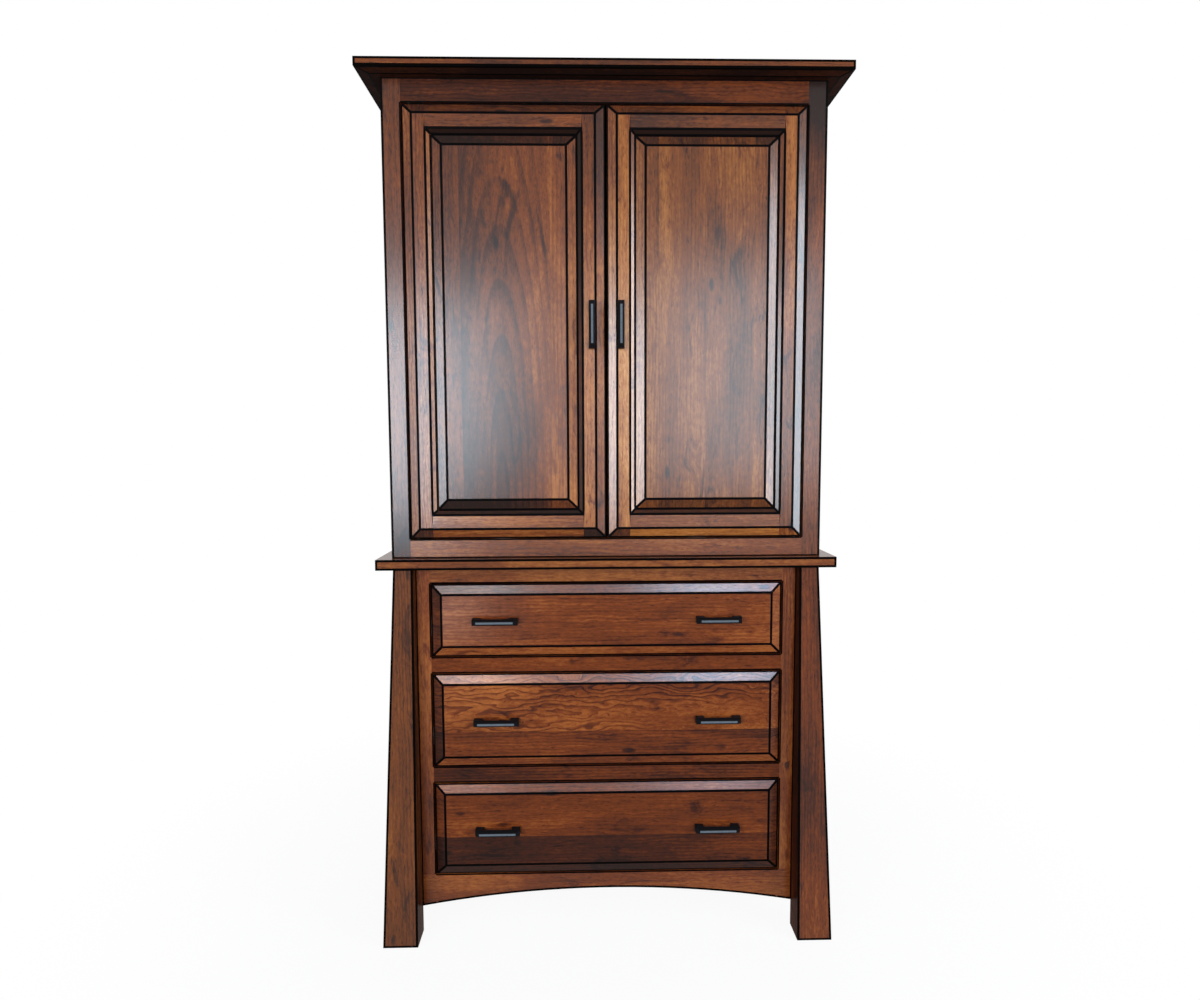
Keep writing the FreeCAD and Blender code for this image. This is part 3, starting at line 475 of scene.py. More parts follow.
def black_plastic(graph):
    metal(graph, settings().hardware.plastic, rough=0.46, spread=0.16, scale=(900, 900, 900), metallic=0,
          level=0.4)


def shells(mesh):
    """The triangles of a CAD mesh solid by solid: a solid ends where all its edges have met."""
    waiting = set()
    batch = []
    for polygon in mesh.polygons:
        corners = [tuple(round(part, CORNER_DIGITS) for part in mesh.vertices[index].co)
                   for index in polygon.vertices]
        batch.append(corners)
        for first, second in zip(corners, corners[1:] + corners[:1]):
            if (second, first) in waiting:
                waiting.remove((second, first))
            else:
                waiting.add((first, second))
        if not waiting:
            yield batch
            batch = []
    if batch:
        raise RuntimeError("%s isn't made of closed solids" % mesh.name)


def solids(node):
    """One mesh for each solid of a CAD node, with its flat faces whole."""
    made = []
    for triangles in shells(frame["nodes"][node].data):
        work = bmesh.new()
        known = {}
        for corners in triangles:
            for corner in corners:
                if corner not in known:
                    known[corner] = work.verts.new(corner)
            work.faces.new([known[corner] for corner in corners])
        work.normal_update()
        if node in DRILLED:
            plug_screw_holes(work)
        bmesh.ops.dissolve_limit(work, angle_limit=FLAT, verts=work.verts, edges=work.edges)
        work.normal_update()
        made.append(work)
    return made


def plug_screw_holes(work):
    """Close the holes of a pull's screws, which its feet hide."""
    centres = []
    for edge in work.edges:
        if edge.calc_length() < RIM_EDGE:
            place = edge.verts[0].co.xz
            if all((place - centre).length > 3 * SCREW_HOLE for centre in centres):
                centres.append(place)
    walls = [face for face in work.faces
             if any(all((vert.co.xz - centre).length < 2 * SCREW_HOLE + MERGE for vert in face.verts)
                    for centre in centres)]
    bmesh.ops.delete(work, geom=walls, context="FACES")
    bmesh.ops.holes_fill(work, edges=[edge for edge in work.edges if edge.is_boundary], sides=0)
    bmesh.ops.recalc_face_normals(work, faces=work.faces[:])


def box_of(work):
    """Lowest and highest corner of a mesh."""
    places = [vert.co for vert in work.verts]
    return (Vector(min(place[axis] for place in places) for axis in range(3)),
            Vector(max(place[axis] for place in places) for axis in range(3)))


def axes_by_length(low, high):
    """The axes along, across and through a board."""
    size = high - low
    return sorted(range(3), key=lambda axis: -size[axis])


def middle_of(edge):
    return (edge.verts[0].co + edge.verts[1].co) / 2


def along(edge):
    return (edge.verts[1].co - edge.verts[0].co).normalized()


def outward(edge, face):
    """The direction in a face's plane that leads out over one of its edges."""
    out = along(edge).cross(face.normal).normalized()
    return out if out.dot(middle_of(edge) - face.calc_center_median()) > 0 else -out


class Board:
    """One solid of wood as the others see it."""

    def __init__(self, node, index, solid):
        self.key = (node, index)
        self.low, self.high = box_of(solid)
        self.tree = BVHTree.FromBMesh(solid)

    def near(self, low, high):
        return all(self.low[axis] < high[axis] + TOUCH and self.high[axis] > low[axis] - TOUCH
                   for axis in range(3))

    def holds(self, point):
        """Whether a point lies inside, by how often a ray from it leaves."""
        if any(not self.low[axis] < point[axis] < self.high[axis] for axis in range(3)):
            return False
        count = 0
        place = point
        while True:
            hit = self.tree.ray_cast(place, STRAY)[0]
            if hit is None:
                return count % 2 == 1
            count += 1
            place = hit + STRAY * MERGE


class Joinery:
    """All the boards of the armoire, to ask what lies beside an edge or ahead of a face."""

    def __init__(self):
        self.boards = []
        for node in frame["nodes"]:
            if SLOT_OF[node] in WOOD_SLOTS:
                for index, solid in enumerate(solids(node)):
                    self.boards.append(Board(node, index, solid))
                    solid.free()

    def filled(self, point, key):
        return any(board.key != key and board.holds(point) for board in self.boards)

    def touching(self, key, low, high):
        return [board for board in self.boards if board.key != key and board.near(low, high)]

    def shows(self, face):
        """Whether nothing stands ahead of the middle of a face."""
        start = face.calc_center_median() + face.normal * PROBE / 2
        return all(board.tree.ray_cast(start, face.normal)[0] is None for board in self.boards)

    def flush(self, edge, key):
        """Whether another board carries on level with one face of an edge."""
        first, second = (face.normal for face in edge.link_faces)
        for end, front in ((first, second), (second, first)):
            beside = middle_of(edge) + end * PROBE
            if self.filled(beside - front * PROBE, key) and not self.filled(beside + front * PROBE, key):
                return True
        return False

    def gapped(self, edge, face, key):
        """Whether another board stands close across a gap, beyond an edge of a face."""
        return self.filled(middle_of(edge) + outward(edge, face) * GAP - face.normal * 2 * PROBE, key)


JOINERY = Joinery()


def slice_at(work, axis, place):
    """Cut a mesh's faces at a plane across an axis, and leave it whole."""
    normal = Vector((0, 0, 0))
    normal[axis] = 1
    bmesh.ops.bisect_plane(work, geom=work.verts[:] + work.edges[:] + work.faces[:], dist=MERGE,
                           plane_co=normal * place, plane_no=normal)


def cut_at_joints(work, key):
    """Cut a board where another meets its side, so that each edge is either free or a joint."""
    low, high = box_of(work)
    lengthwise, _across, through = axes_by_length(low, high)
    margin = 2 * PROBE
    places = set()
    for board in JOINERY.touching(key, low, high):
        apart = (abs(board.low[through] - low[through]), abs(board.high[through] - high[through]))
        if min(apart) > TOUCH:
            continue
        for place in (board.low[lengthwise], board.high[lengthwise]):
            if low[lengthwise] + margin < place < high[lengthwise] - margin:
                places.add(round(place, JOINT_DIGITS))
    for place in sorted(places):
        slice_at(work, lengthwise, place)
    work.normal_update()


def slanting(edge):
    """Whether an edge runs aslant across the front, as a mitre does."""
    run = along(edge)
    return min(abs(run.x), abs(run.z)) > ASLANT


def eased_edges(work, key):
    """The edges of a board that show and aren't level with a neighbour."""
    shown = {face for face in work.faces if JOINERY.shows(face)}
    return [edge for edge in creases(work) if shown.intersection(edge.link_faces)
            and (slanting(edge) or not JOINERY.flush(edge, key))]


def creases(work):
    """The sharp edges of a mesh, but for the rims of holes."""
    return [edge for edge in work.edges if len(edge.link_faces) == 2 and edge.calc_length() >= SHORT_EDGE
            and edge.calc_face_angle(0) >= CREASE]


def ease(work, edges, mark):
    """Round the edges, and give the new faces a material of their own."""
    if edges:
        bmesh.ops.bevel(work, geom=edges, offset=settings().edges.easing, offset_type="OFFSET", segments=2,
                        profile=0.5, affect="EDGES", clamp_overlap=True, material=mark)
    work.normal_update()


def turns(face):
    """In how many directions the sides of a face run."""
    kinds = []
    for side in map(along, face.edges):
        if all(abs(side.dot(kind)) < math.cos(FLAT) for kind in kinds):
            kinds.append(side)
    return len(kinds)


def draw_lines(work, key):
    """Cut a strip of glaze beside every eased edge of the faces that show."""
    sizes = settings().edges
    narrow, broad = sizes.line - sizes.easing, sizes.border - sizes.easing
    tag = work.faces.layers.int.new("strip")
    for number, face in enumerate([face for face in work.faces if face.material_index == WOOD], 1):
        face[tag] = number
    lines = []
    arched = {}
    for face in [face for face in work.faces if face[tag] and JOINERY.shows(face)]:
        for edge in face.edges:
            other = next((one for one in edge.link_faces if one is not face), None)
            if other is None or other.material_index == WOOD or edge.calc_length() < SHORT_EDGE / 2:
                continue
            out = outward(edge, face)
            if any((vert.co - edge.verts[0].co).dot(out) > PROBE / 4 for vert in face.verts):
                arched.setdefault(face, set()).add(edge)
                continue
            inner = face.normal.dot(other.normal) > SHALLOW or JOINERY.gapped(edge, face, key)
            lines.append((face[tag], middle_of(edge), out, narrow if inner else broad))
    for face in [face for face in arched if turns(face) > CURVED]:
        number = face[tag]
        rim = bmesh.ops.inset_individual(work, faces=[face], thickness=broad, use_even_offset=True)["faces"]
        for strip in rim:
            dark = bool(arched[face].intersection(strip.edges))
            strip.material_index, strip[tag] = (GLAZE, 0) if dark else (WOOD, number)
    for number, place, out, width in lines:
        faces = [face for face in work.faces if face[tag] == number]
        geometry = dict.fromkeys(part for face in faces for part in (face, *face.edges, *face.verts))
        bmesh.ops.bisect_plane(work, geom=list(geometry), dist=MERGE, plane_co=place - out * width,
                               plane_no=out)
    for face in work.faces:
        middle = face.calc_center_median()
        if any(face[tag] == number and (middle - place).dot(out) > -width
               for number, place, out, width in lines):
            face.material_index = GLAZE
    work.faces.layers.int.remove(tag)


class Stave(NamedTuple):
    """A strip of a glued-up board, and how it grew."""
    share: float  # of the board's width
    tone: float  # dark above 0
    curl: float  # how much the grain swirls
    heart: float  # the tree's heart across from the strip's middle, in metres
    below: float  # and below it
    slope: float  # how much further below it is in each metre along
    ring: float = 1  # how strong the rings are
    wide: float = 1  # and how wide
    lean: float = 0  # how much darker the high side is than the low side


# How the boards that show most are glued up, from the low side of each to the high.
GLUE_UPS = {
    "left_door_panel": (Stave(0.2, 0.32, 0.8, 0.12, 0.03, 0.02),
                        Stave(0.6, 0.16, 0.14, -0.012, 0.06, 0.13, 1.4, 2.0, -0.36),
                        Stave(0.2, 0.0, 0.2, 0.2, 0.05, 0.01, 0.8)),
    "right_door_panel": (Stave(0.18, 0.07, 0.5, 0.16, 0.04, 0.02, lean=-0.02),
                         Stave(0.32, 0.05, 0.3, 0.2, 0.02, 0.015, 0.8),
                         Stave(0.32, 0.09, 0.4, -0.22, 0.03, 0.01, 0.8),
                         Stave(0.18, 0.1, 0.5, -0.15, 0.05, 0.02)),
    "top_drawer_front": (Stave(0.46, 0.04, 0.3, 0.1, 0.05, 0.01, 0.8),
                         Stave(0.54, 0.1, 0.4, -0.12, 0.04, 0.02, 0.8)),
    "middle_drawer_front": (Stave(0.38, 0.14, 0.6, 0.14, 0.04, 0.02, 1.2),
                            Stave(0.62, 0.0, 2.2, -0.02, 0.03, 0.03, 2.8, 1.35)),
    "bottom_drawer_front": (Stave(0.42, 0.42, 0.5, 0.1, 0.03, 0.01),
                            Stave(0.58, 0.1, 0.5, -0.1, 0.05, 0.02)),
}
ONE_STAVE = 1.4  # other boards up to this many usual widths wide are one strip
TREE = (2, 60)  # how far up its tree the middle of a strip may have been, in metres
# Tones of other boards, dark above 0, by board, or by board and solid.
TONES = {
    "crown_top": 0.25,
    "upper_top_rail": 0.3,
    "upper_bottom_rail": -0.06,
    "upper_stiles": 0.22,
    ("upper_stiles", 1): 0.36,
    "left_door_meeting_stile": -0.26,
    "right_door_meeting_stile": -0.16,
    "left_door_bottom_rail": 0.06,
    "right_door_bottom_rail": -0.02,
    "left_door_top_rail": 0.18,
    "right_door_top_rail": 0.34,
    "drawer_rails": -0.08,
    ("drawer_rails", 1): 0.34,
    "desk_deck": -0.08,
    "base_top_rail": -0.02,
    "base_stiles": 0.02,
    "apron": 0.08,
    "front_right_leg": 0.22,
    "front_left_leg": 0.04,
}
# How golden boards are, by their names or the first two words of them.
GOLD = {
    "left_door": 0.3,
    "right_door": 0.4,
    "right_door_panel": 0.6,
    "upper_stiles": 0.3,
    "upper_bottom": 0.3,
    "upper_top": 0.1,
    "upper_left": 0.3,
    "upper_right": 0.3,
    "crown_top": 0.3,
    "base_top": 0.3,
    "front_left": 0.5,
}
# Painted shade and painted light: how much darker than their board the faces are that look to its sides, and
# how much lighter below 0, as light falls on each side.
PAINTED_SHADING_BY_SIDE = {
    "crown_top": {"down": 0.43},
    "front_left_leg": {"right": 0.14},
    "front_right_leg": {"left": 0.2},
    "left_door_hinge_stile": {"right": -0.16, "up": 0.25, "down": 0.46},
    "left_door_meeting_stile": {"left": 0.64, "right": 0.16, "up": 0.12, "down": 0.75},
    "left_door_top_rail": {"up": 0.28, "down": 0.65},
    "left_door_bottom_rail": {"up": 0.75, "down": 0.06},
    "left_door_panel": {"left": -0.05, "right": -0.1, "up": 0.38, "down": 0.38},
    "right_door_hinge_stile": {"left": 0.2, "right": 0.4, "up": 0.35, "down": -0.18},
    "right_door_meeting_stile": {"left": 0.06, "right": 0.1, "up": 0.3, "down": 0.55},
    "right_door_top_rail": {"up": -0.12, "down": 0.6},
    "right_door_bottom_rail": {"up": 0.4, "down": -0.25},
    "right_door_panel": {"left": -0.08, "up": 0.26, "down": 0.18},
    "top_drawer_front": {"left": 0.34, "right": -0.05, "up": 0.16, "down": -0.08},
    "middle_drawer_front": {"left": 0.4, "right": -0.05, "up": -0.05, "down": -0.12},
    "bottom_drawer_front": {"left": 0.16, "right": 0.1, "up": -0.05, "down": 0.1},
}
# How the tone of some strips changes along them, by board, solid and strip: shares of the length from the low
# end, and how much darker the strip is there.
STEADY = ((0, 0), (1, 0))
PALE_ENDS = ((0, -0.04), (0.12, 0), (0.5, 0.05), (0.75, 0), (0.88, -0.06), (1, -0.06))
RUNS = {
    ("left_door_meeting_stile", 0, 0): ((0, 0.05), (0.1, -0.05), (0.3, -0.08), (0.6, 0.04), (0.7, 0.2),
                                        (0.8, 0.42), (1, 0.55)),
    ("right_door_meeting_stile", 0, 0): ((0, 0.02), (0.4, 0.05), (0.7, 0.04), (0.85, 0.09), (1, 0.22)),
    ("upper_stiles", 0, 0): ((0, 0.08), (0.2, 0), (0.85, 0), (0.92, 0.32), (1, 0.4)),
    ("upper_stiles", 1, 0): ((0, 0), (0.65, 0), (0.8, -0.13), (0.92, -0.05), (1, -0.05)),
    ("left_door_panel", 0, 0): ((0, -0.1), (0.3, -0.06), (0.6, -0.06), (0.85, -0.08), (1, 0)),
    ("left_door_panel", 0, 1): ((0, 0.17), (0.2, 0.2), (0.33, 0.05), (0.5, -0.04), (0.8, -0.05), (0.92, 0.06),
                                (1, 0.1)),
    ("left_door_panel", 0, 2): ((0, -0.06), (0.3, -0.03), (0.85, 0.03), (1, 0.06)),
    ("right_door_panel", 0, 1): PALE_ENDS,
    ("right_door_panel", 0, 2): PALE_ENDS,
    ("top_drawer_front", 0, 0): ((0, -0.08), (0.5, 0), (1, -0.08)),
    ("top_drawer_front", 0, 1): ((0, 0), (0.4, 0.08), (0.6, 0.05), (0.8, -0.13), (1, -0.18)),
    ("middle_drawer_front", 0, 0): ((0, -0.14), (0.4, 0.02), (1, 0.1)),
    ("middle_drawer_front", 0, 1): ((0, -0.02), (0.25, -0.14), (0.5, -0.03), (0.8, 0.09), (1, 0.08)),
    ("bottom_drawer_front", 0, 0): ((0, -0.08), (0.3, 0.08), (0.5, 0.1), (0.65, 0.02), (0.85, -0.14),
                                    (1, -0.16)),
}
# Sides whose lacquer is rubbed dull, and sides with hardly any.
DULL_SIDES = {
    "upper_top_rail": ("front", "down"),
    "drawer_rails": ("front",),
    **{board: ("up", "down") for board in DOOR_BOARDS},
    "left_door_meeting_stile": ("left", "up", "down"),
    **{front: ("front", "left", "down") for front in DRAWER_FRONTS},
}
BARE_SIDES = {
    "crown_top": ("down",),
    "upper_stiles": ("left", "right"),
    "upper_bottom_rail": ("up",),
    "left_door_top_rail": ("down",),
    "right_door_top_rail": ("down",),
    "front_left_leg": ("right",),
    "front_right_leg": ("left",),
}


def side_of(face):
    """Which way a face looks; the back counts as the front."""
    normal = face.normal
    if abs(normal.y) > FACING:
        return "front"
    if abs(normal.x) > abs(normal.z):
        return "left" if normal.x < 0 else "right"
    return "up" if normal.z > 0 else "down"


def lacquer(node, side):
    """The wood of one side of a board, by how much lacquer it has."""
    if side in BARE_SIDES.get(node, ()):
        return BARE
    return DULL if side in DULL_SIDES.get(node, ()) else WOOD


def drawn_staves(draw, count, tone):
    """Strips of uneven widths and tones, for a board with no glue-up of its own."""
    cuts = [1 + draw.uniform(-0.25, 0.25) for _strip in range(count)]
    return [Stave(share=cut / sum(cuts), tone=tone + draw.uniform(-0.09, 0.11), curl=draw.uniform(0.15, 0.7),
                  heart=draw.choice((-1, 1)) * draw.uniform(0.02, 0.2), below=draw.uniform(0.01, 0.07),
                  slope=draw.uniform(-0.03, 0.03), ring=draw.uniform(0.6, 1.3)) for cut in cuts]


def strips_of(node, index, start, size):
    """Each strip of a board: its edges, how it grew, its place up the tree and its change of tone."""
    draw = random.Random("%s %d" % (node, index))
    rows = GLUE_UPS.get(node)
    if rows is None:
        usual = settings().wood.stave
        count = max(1, round(size / usual)) if size > ONE_STAVE * usual else 1
        rows = drawn_staves(draw, count, TONES.get((node, index), TONES.get(node, 0)))
    for number, stave in enumerate(rows):
        end = start + stave.share * size
        yield start, end, stave, draw.uniform(*TREE), RUNS.get((node, index, number), STEADY)
        start = end


def darker_at(stops, share):
    """How much darker a strip is at a share of its length."""
    for (start, first), (end, last) in zip(stops, stops[1:]):
        if share <= end + MERGE:
            return first + (last - first) * (share - start) / (end - start)
    return stops[-1][1]


def grow(work, node, index):
    """Cut a board into its strips, and give every corner its place in the strip's own grain."""
    low, high = box_of(work)
    lengthwise, across, through = axes_by_length(low, high)
    length = high[lengthwise] - low[lengthwise]
    strips = list(strips_of(node, index, low[across], high[across] - low[across]))
    for start, *_rest in strips[1:]:
        slice_at(work, across, start)
    for share in sorted({share for *_rest, run in strips for share, _darker in run[1:-1]}):
        slice_at(work, lengthwise, low[lengthwise] + share * length)
    grain, tones, finish = (work.loops.layers.float_vector.new(name) for name in ("grain", "stave", "finish"))
    gold = GOLD.get(node, GOLD.get("_".join(node.split("_")[:2]), 0))
    middle = (low + high) / 2
    for face in work.faces:
        place = face.calc_center_median()[across]
        start, end, stave, shift, run = next((strip for strip in strips if place <= strip[1]), strips[-1])
        side = side_of(face)
        # The face's tone takes the painted shade or painted light of the side it looks to.
        tone = stave.tone + PAINTED_SHADING_BY_SIDE.get(node, {}).get(side, 0)
        if face.material_index == WOOD:
            face.material_index = lacquer(node, side)
        for loop in face.loops:
            corner = loop.vert.co
            reach = corner[lengthwise] - middle[lengthwise]
            loop[grain] = (reach + shift, corner[across] - (start + end) / 2 - stave.heart,
                           corner[through] - middle[through] + stave.below + stave.slope * reach)
            lean = stave.lean * ((corner[across] - start) / (end - start) - 0.5)
            darker = darker_at(run, (corner[lengthwise] - low[lengthwise]) / length)
            loop[tones] = (tone + lean + darker, stave.curl, stave.ring)
            loop[finish] = (gold, stave.wide, 0)


def joined(parts, name):
    """One mesh from several, which are freed."""
    whole = bmesh.new()
    for part in parts:
        step = bpy.data.meshes.new(name)
        part.to_mesh(step)
        part.free()
        whole.from_mesh(step)
        bpy.data.meshes.remove(step)
    mesh = bpy.data.meshes.new(name)
    whole.to_mesh(mesh)
    whole.free()
    return mesh


def add_piece(name, parts, materials, body, slot):
    """Put finished meshes in the scene as one piece on its body."""
    mesh = joined(parts, name)
    for finish in materials:
        mesh.materials.append(finish)
    piece = bpy.data.objects.new(name, mesh)
    bpy.context.scene.collection.objects.link(piece)
    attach(piece, body)
    return piece


def replace_node(node, parts, materials):
    """Put finished solids in place of a CAD node."""
    piece = add_piece(node + "_finish", parts, materials, BODY_OF[node], SLOT_OF[node])
    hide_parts(node)


def finish_board(node, finish, lined):
    """Replace a CAD node by its finished boards, with glaze along the edges where it is lined."""
    parts = solids(node)
    for index, work in enumerate(parts):
        key = (node, index)
        cut_at_joints(work, key)
        ease(work, eased_edges(work, key), GLAZE if lined else WOOD)
        if lined:
            draw_lines(work, key)
        grow(work, node, index)
    others = (edge_glaze, dull_wood, bare_wood) if lined else ()
    replace_node(node, parts, [material(make) for make in (finish, *others)])


class ARMOIRE_OT_case(bpy.types.Operator):
    """Finish the crown, the sides and the face frame of the upper case"""
    bl_idname = "armoire.case"
    bl_label = "Upper case"

    def execute(self, context):
        for node in CASE_BOARDS:
            finish_board(node, satin_wood, lined=True)
        for node in INNER_BOARDS:
            finish_board(node, satin_wood, lined=False)
        return {"FINISHED"}


class ARMOIRE_OT_base(bpy.types.Operator):
    """Finish the ledge, the legs, the face frame and the sides of the base"""
    bl_idname = "armoire.base"
    bl_label = "Base"

    def execute(self, context):
        for node in BASE_BOARDS:
            finish_board(node, satin_wood, lined=True)
        return {"FINISHED"}


class ARMOIRE_OT_doors(bpy.types.Operator):
    """Finish the frames and raised panels of the doors"""
    bl_idname = "armoire.doors"
    bl_label = "Doors"

    def execute(self, context):
        for node in DOOR_BOARDS:
            finish_board(node, satin_wood, lined=True)
        return {"FINISHED"}


class ARMOIRE_OT_drawers(bpy.types.Operator):
    """Finish the drawer fronts, the dovetailed boxes and the cleats"""
    bl_idname = "armoire.drawers"
    bl_label = "Drawers"

    def execute(self, context):
        for drawer in DRAWERS:
            finish_board(drawer + "_front", satin_wood, lined=True)
            finish_board(drawer + "_box", box_maple, lined=False)
        finish_board("slide_cleats", box_maple, lined=False)
        return {"FINISHED"}


class ARMOIRE_OT_panels(bpy.types.Operator):
    """Finish the veneered back panels and the floor of the base"""
    bl_idname = "armoire.panels"
    bl_label = "Back panels"

    def execute(self, context):
        for node in (*BACK_PANELS, "base_floor"):
            finish_board(node, back_veneer, lined=False)
        return {"FINISHED"}


def finish_pull(node):
    """Replace a pull by a copy with eased edges, dark but for a painted highlight on the front of its bar."""
    parts = solids(node)
    for work in parts:
        ease(work, creases(work), PULL_EDGES)
        front = [face for face in work.faces if face.normal.y < -FACING and face.calc_area() > BAR_FRONT]
        for face in work.faces:
            face.material_index = PULL_EDGES
        if front:
            bmesh.ops.inset_individual(work, faces=front, thickness=settings().hardware.pull_border,
                                       use_even_offset=True)
        # The front of the bar takes the bronze with the painted highlight.
        for face in front:
            face.material_index = PULL_FRONT
    replace_node(node, parts, [material(pull_bronze), material(pull_edges)])


class ARMOIRE_OT_pulls(bpy.types.Operator):
    """Finish the bar pulls of the doors and drawers"""
    bl_idname = "armoire.pulls"
    bl_label = "Pulls"

    def execute(self, context):
        for node in [door + "_pull" for door in DOORS] + [drawer + "_pulls" for drawer in DRAWERS]:
            finish_pull(node)
        return {"FINISHED"}


class ARMOIRE_OT_fittings(bpy.types.Operator):
    """Finish the slides, hinges, catches, pins and grommets"""
    bl_idname = "armoire.fittings"
    bl_label = "Fittings"

    def execute(self, context):
        finishes = {
            "slide_steel": slide_zinc,
            "hinge_brass": aged_brass,
            "plated_steel": pin_nickel,
            "moulded_plastic": black_plastic,
        }
        for node, piece in frame["nodes"].items():
            finish = pull_edges if node.endswith("catch_plate") else finishes.get(SLOT_OF[node])
            if finish:
                piece.data.materials.clear()
                piece.data.materials.append(material(finish))
        return {"FINISHED"}


def screw_tree():
    """Geometry nodes that set a row of cross-head screws along a line, and what their inputs are called."""
    tree = bpy.data.node_groups.new("screw_row", "GeometryNodeTree")
    kinds = {"Start": "Vector", "Step": "Vector", "Count": "Int", "Turn": "Rotation", "Radius": "Float",
             "Height": "Float", "Finish": "Material"}
    names = {name: tree.interface.new_socket(name=name, in_out="INPUT",
                                             socket_type="NodeSocket" + kind).identifier
             for name, kind in kinds.items()}
    tree.interface.new_socket(name="Geometry", in_out="OUTPUT", socket_type="NodeSocketGeometry")
    graph = Graph(tree)
    given = graph.node("NodeGroupInput")
    radius, height = given["Radius"], given["Height"]
    row = graph.node("GeometryNodeMeshLine", {"Count": given["Count"], "Start Location": given["Start"],
                                              "Offset": given["Step"]}, mode="OFFSET")
    top, long, thin, deep = (graph.math("MULTIPLY", size, share) for size, share in (
        (radius, HEAD_TAPER), (radius, CROSS_LENGTH), (radius, CROSS_WIDTH), (height, CROSS_DEPTH)))
    head = graph.node("GeometryNodeMeshCone", {"Vertices": HEAD_SIDES, "Radius Top": top,
                                               "Radius Bottom": radius, "Depth": height})
    bars = []
    for size in (graph.triple(long, thin, deep), graph.triple(thin, long, deep)):
        bar = graph.node("GeometryNodeMeshCube", {"Size": size})["Mesh"]
        bars.append(graph.node("GeometryNodeTransform",
                               {"Geometry": bar, "Translation": graph.triple(0, 0, height)})[0])
    cut = graph.node("GeometryNodeMeshBoolean", (head["Mesh"], bars), operation="DIFFERENCE")
    copies = graph.node("GeometryNodeInstanceOnPoints", {"Points": row["Mesh"], "Instance": cut["Mesh"],
                                                         "Rotation": given["Turn"]})
    real = graph.node("GeometryNodeRealizeInstances", {"Geometry": copies[0]})
    painted = graph.node("GeometryNodeSetMaterial", {"Geometry": real[0], "Material": given["Finish"]})
    graph.node("NodeGroupOutput", (painted[0],))
    return tree, names


def screw_row(tree, names, **values):
    """The mesh of one row of screws."""
    holder = bpy.data.objects.new("screw_row", bpy.data.meshes.new("screw_row"))
    bpy.context.scene.collection.objects.link(holder)
    modifier = holder.modifiers.new("Screws", "NODES")
    modifier.node_group = tree
    for name, value in values.items():
        modifier[names[name]] = value
    mesh = bpy.data.meshes.new_from_object(holder.evaluated_get(bpy.context.evaluated_depsgraph_get()))
    empty = holder.data
    holder.modifiers.remove(modifier)
    bpy.data.objects.remove(holder)
    bpy.data.meshes.remove(empty)
    work = bmesh.new()
    work.from_mesh(mesh)
    bpy.data.meshes.remove(mesh)
    return work


class ARMOIRE_OT_screws(bpy.types.Operator):
    """Drive the screws of the back panels and of the drawer slides"""
    bl_idname = "armoire.screws"
    bl_label = "Screws"

    def execute(self, context):
        hardware = settings().hardware
        finish = material(slide_zinc)
        drive = partial(screw_row, *screw_tree(), Radius=hardware.screw_radius, Height=hardware.screw_height,
                        Finish=finish)
        rows = [row for node in BACK_PANELS for row in self.panel_rows(node, hardware, drive)]
        add_piece("back_panel_screws", rows, [finish], "case", "slide_steel")
        for drawer in DRAWERS:
            rows = self.slide_rows(drawer, hardware, drive)
            add_piece(drawer + "_slide_screws", rows, [finish], drawer, "slide_steel")
        return {"FINISHED"}

    def panel_rows(self, node, hardware, drive):
        """Screws along the four sides of a back panel."""
        low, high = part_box(node)
        inset = SCREW_INSET * hardware.screw_radius
        for lengthwise, across in ((X, Z), (Z, X)):
            first, last = low[lengthwise] + inset, high[lengthwise] - inset
            count = round((last - first) / hardware.panel_pitch)
            step = (last - first) / count
            for place in (low[across] + inset, high[across] - inset):
                start, offset = Vector((0, high.y + hardware.screw_height / 2, 0)), Vector((0, 0, 0))
                start[lengthwise], start[across] = first + step / 2, place
                offset[lengthwise] = step
                yield drive(Start=start, Step=offset, Count=count, Turn=(math.radians(-90), 0.0, 0.0))

    def slide_rows(self, drawer, hardware, drive):
        """Screws through the slides into the sides of a drawer's box."""
        low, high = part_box(drawer + "_slides")
        box_low, box_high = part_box(drawer + "_box")
        step = (high.y - low.y) / hardware.slide_screws
        for side, face in ((1, box_high.x + SLIDE_WEB), (-1, box_low.x - SLIDE_WEB)):
            start = (face + side * hardware.screw_height / 2, low.y + step / 2, (low.z + high.z) / 2)
            yield drive(Start=start, Step=(0, step, 0), Count=hardware.slide_screws,
                        Turn=(0, side * math.radians(90), 0))


# The lamps: place, what each looks at, width and height, and power in watts.
LAMPS = {
    "window_left": ((-1.96, -3.29, 1.48), (0, -0.27, 1.2), (2.8, 1.8), 112),
    "window_behind": ((1.0, -3.4, 1.35), (0.2, -0.27, 1.2), (1.1, 1.5), 26),
    "window_right": ((2.53, -1.88, 1.7), (0, -0.27, 1.4), (1.4, 2.4), 67),
    "room_back": ((0.4, 3.4, 2.6), (0, 0.3, 1.0), (2.6, 1.6), 60),
}
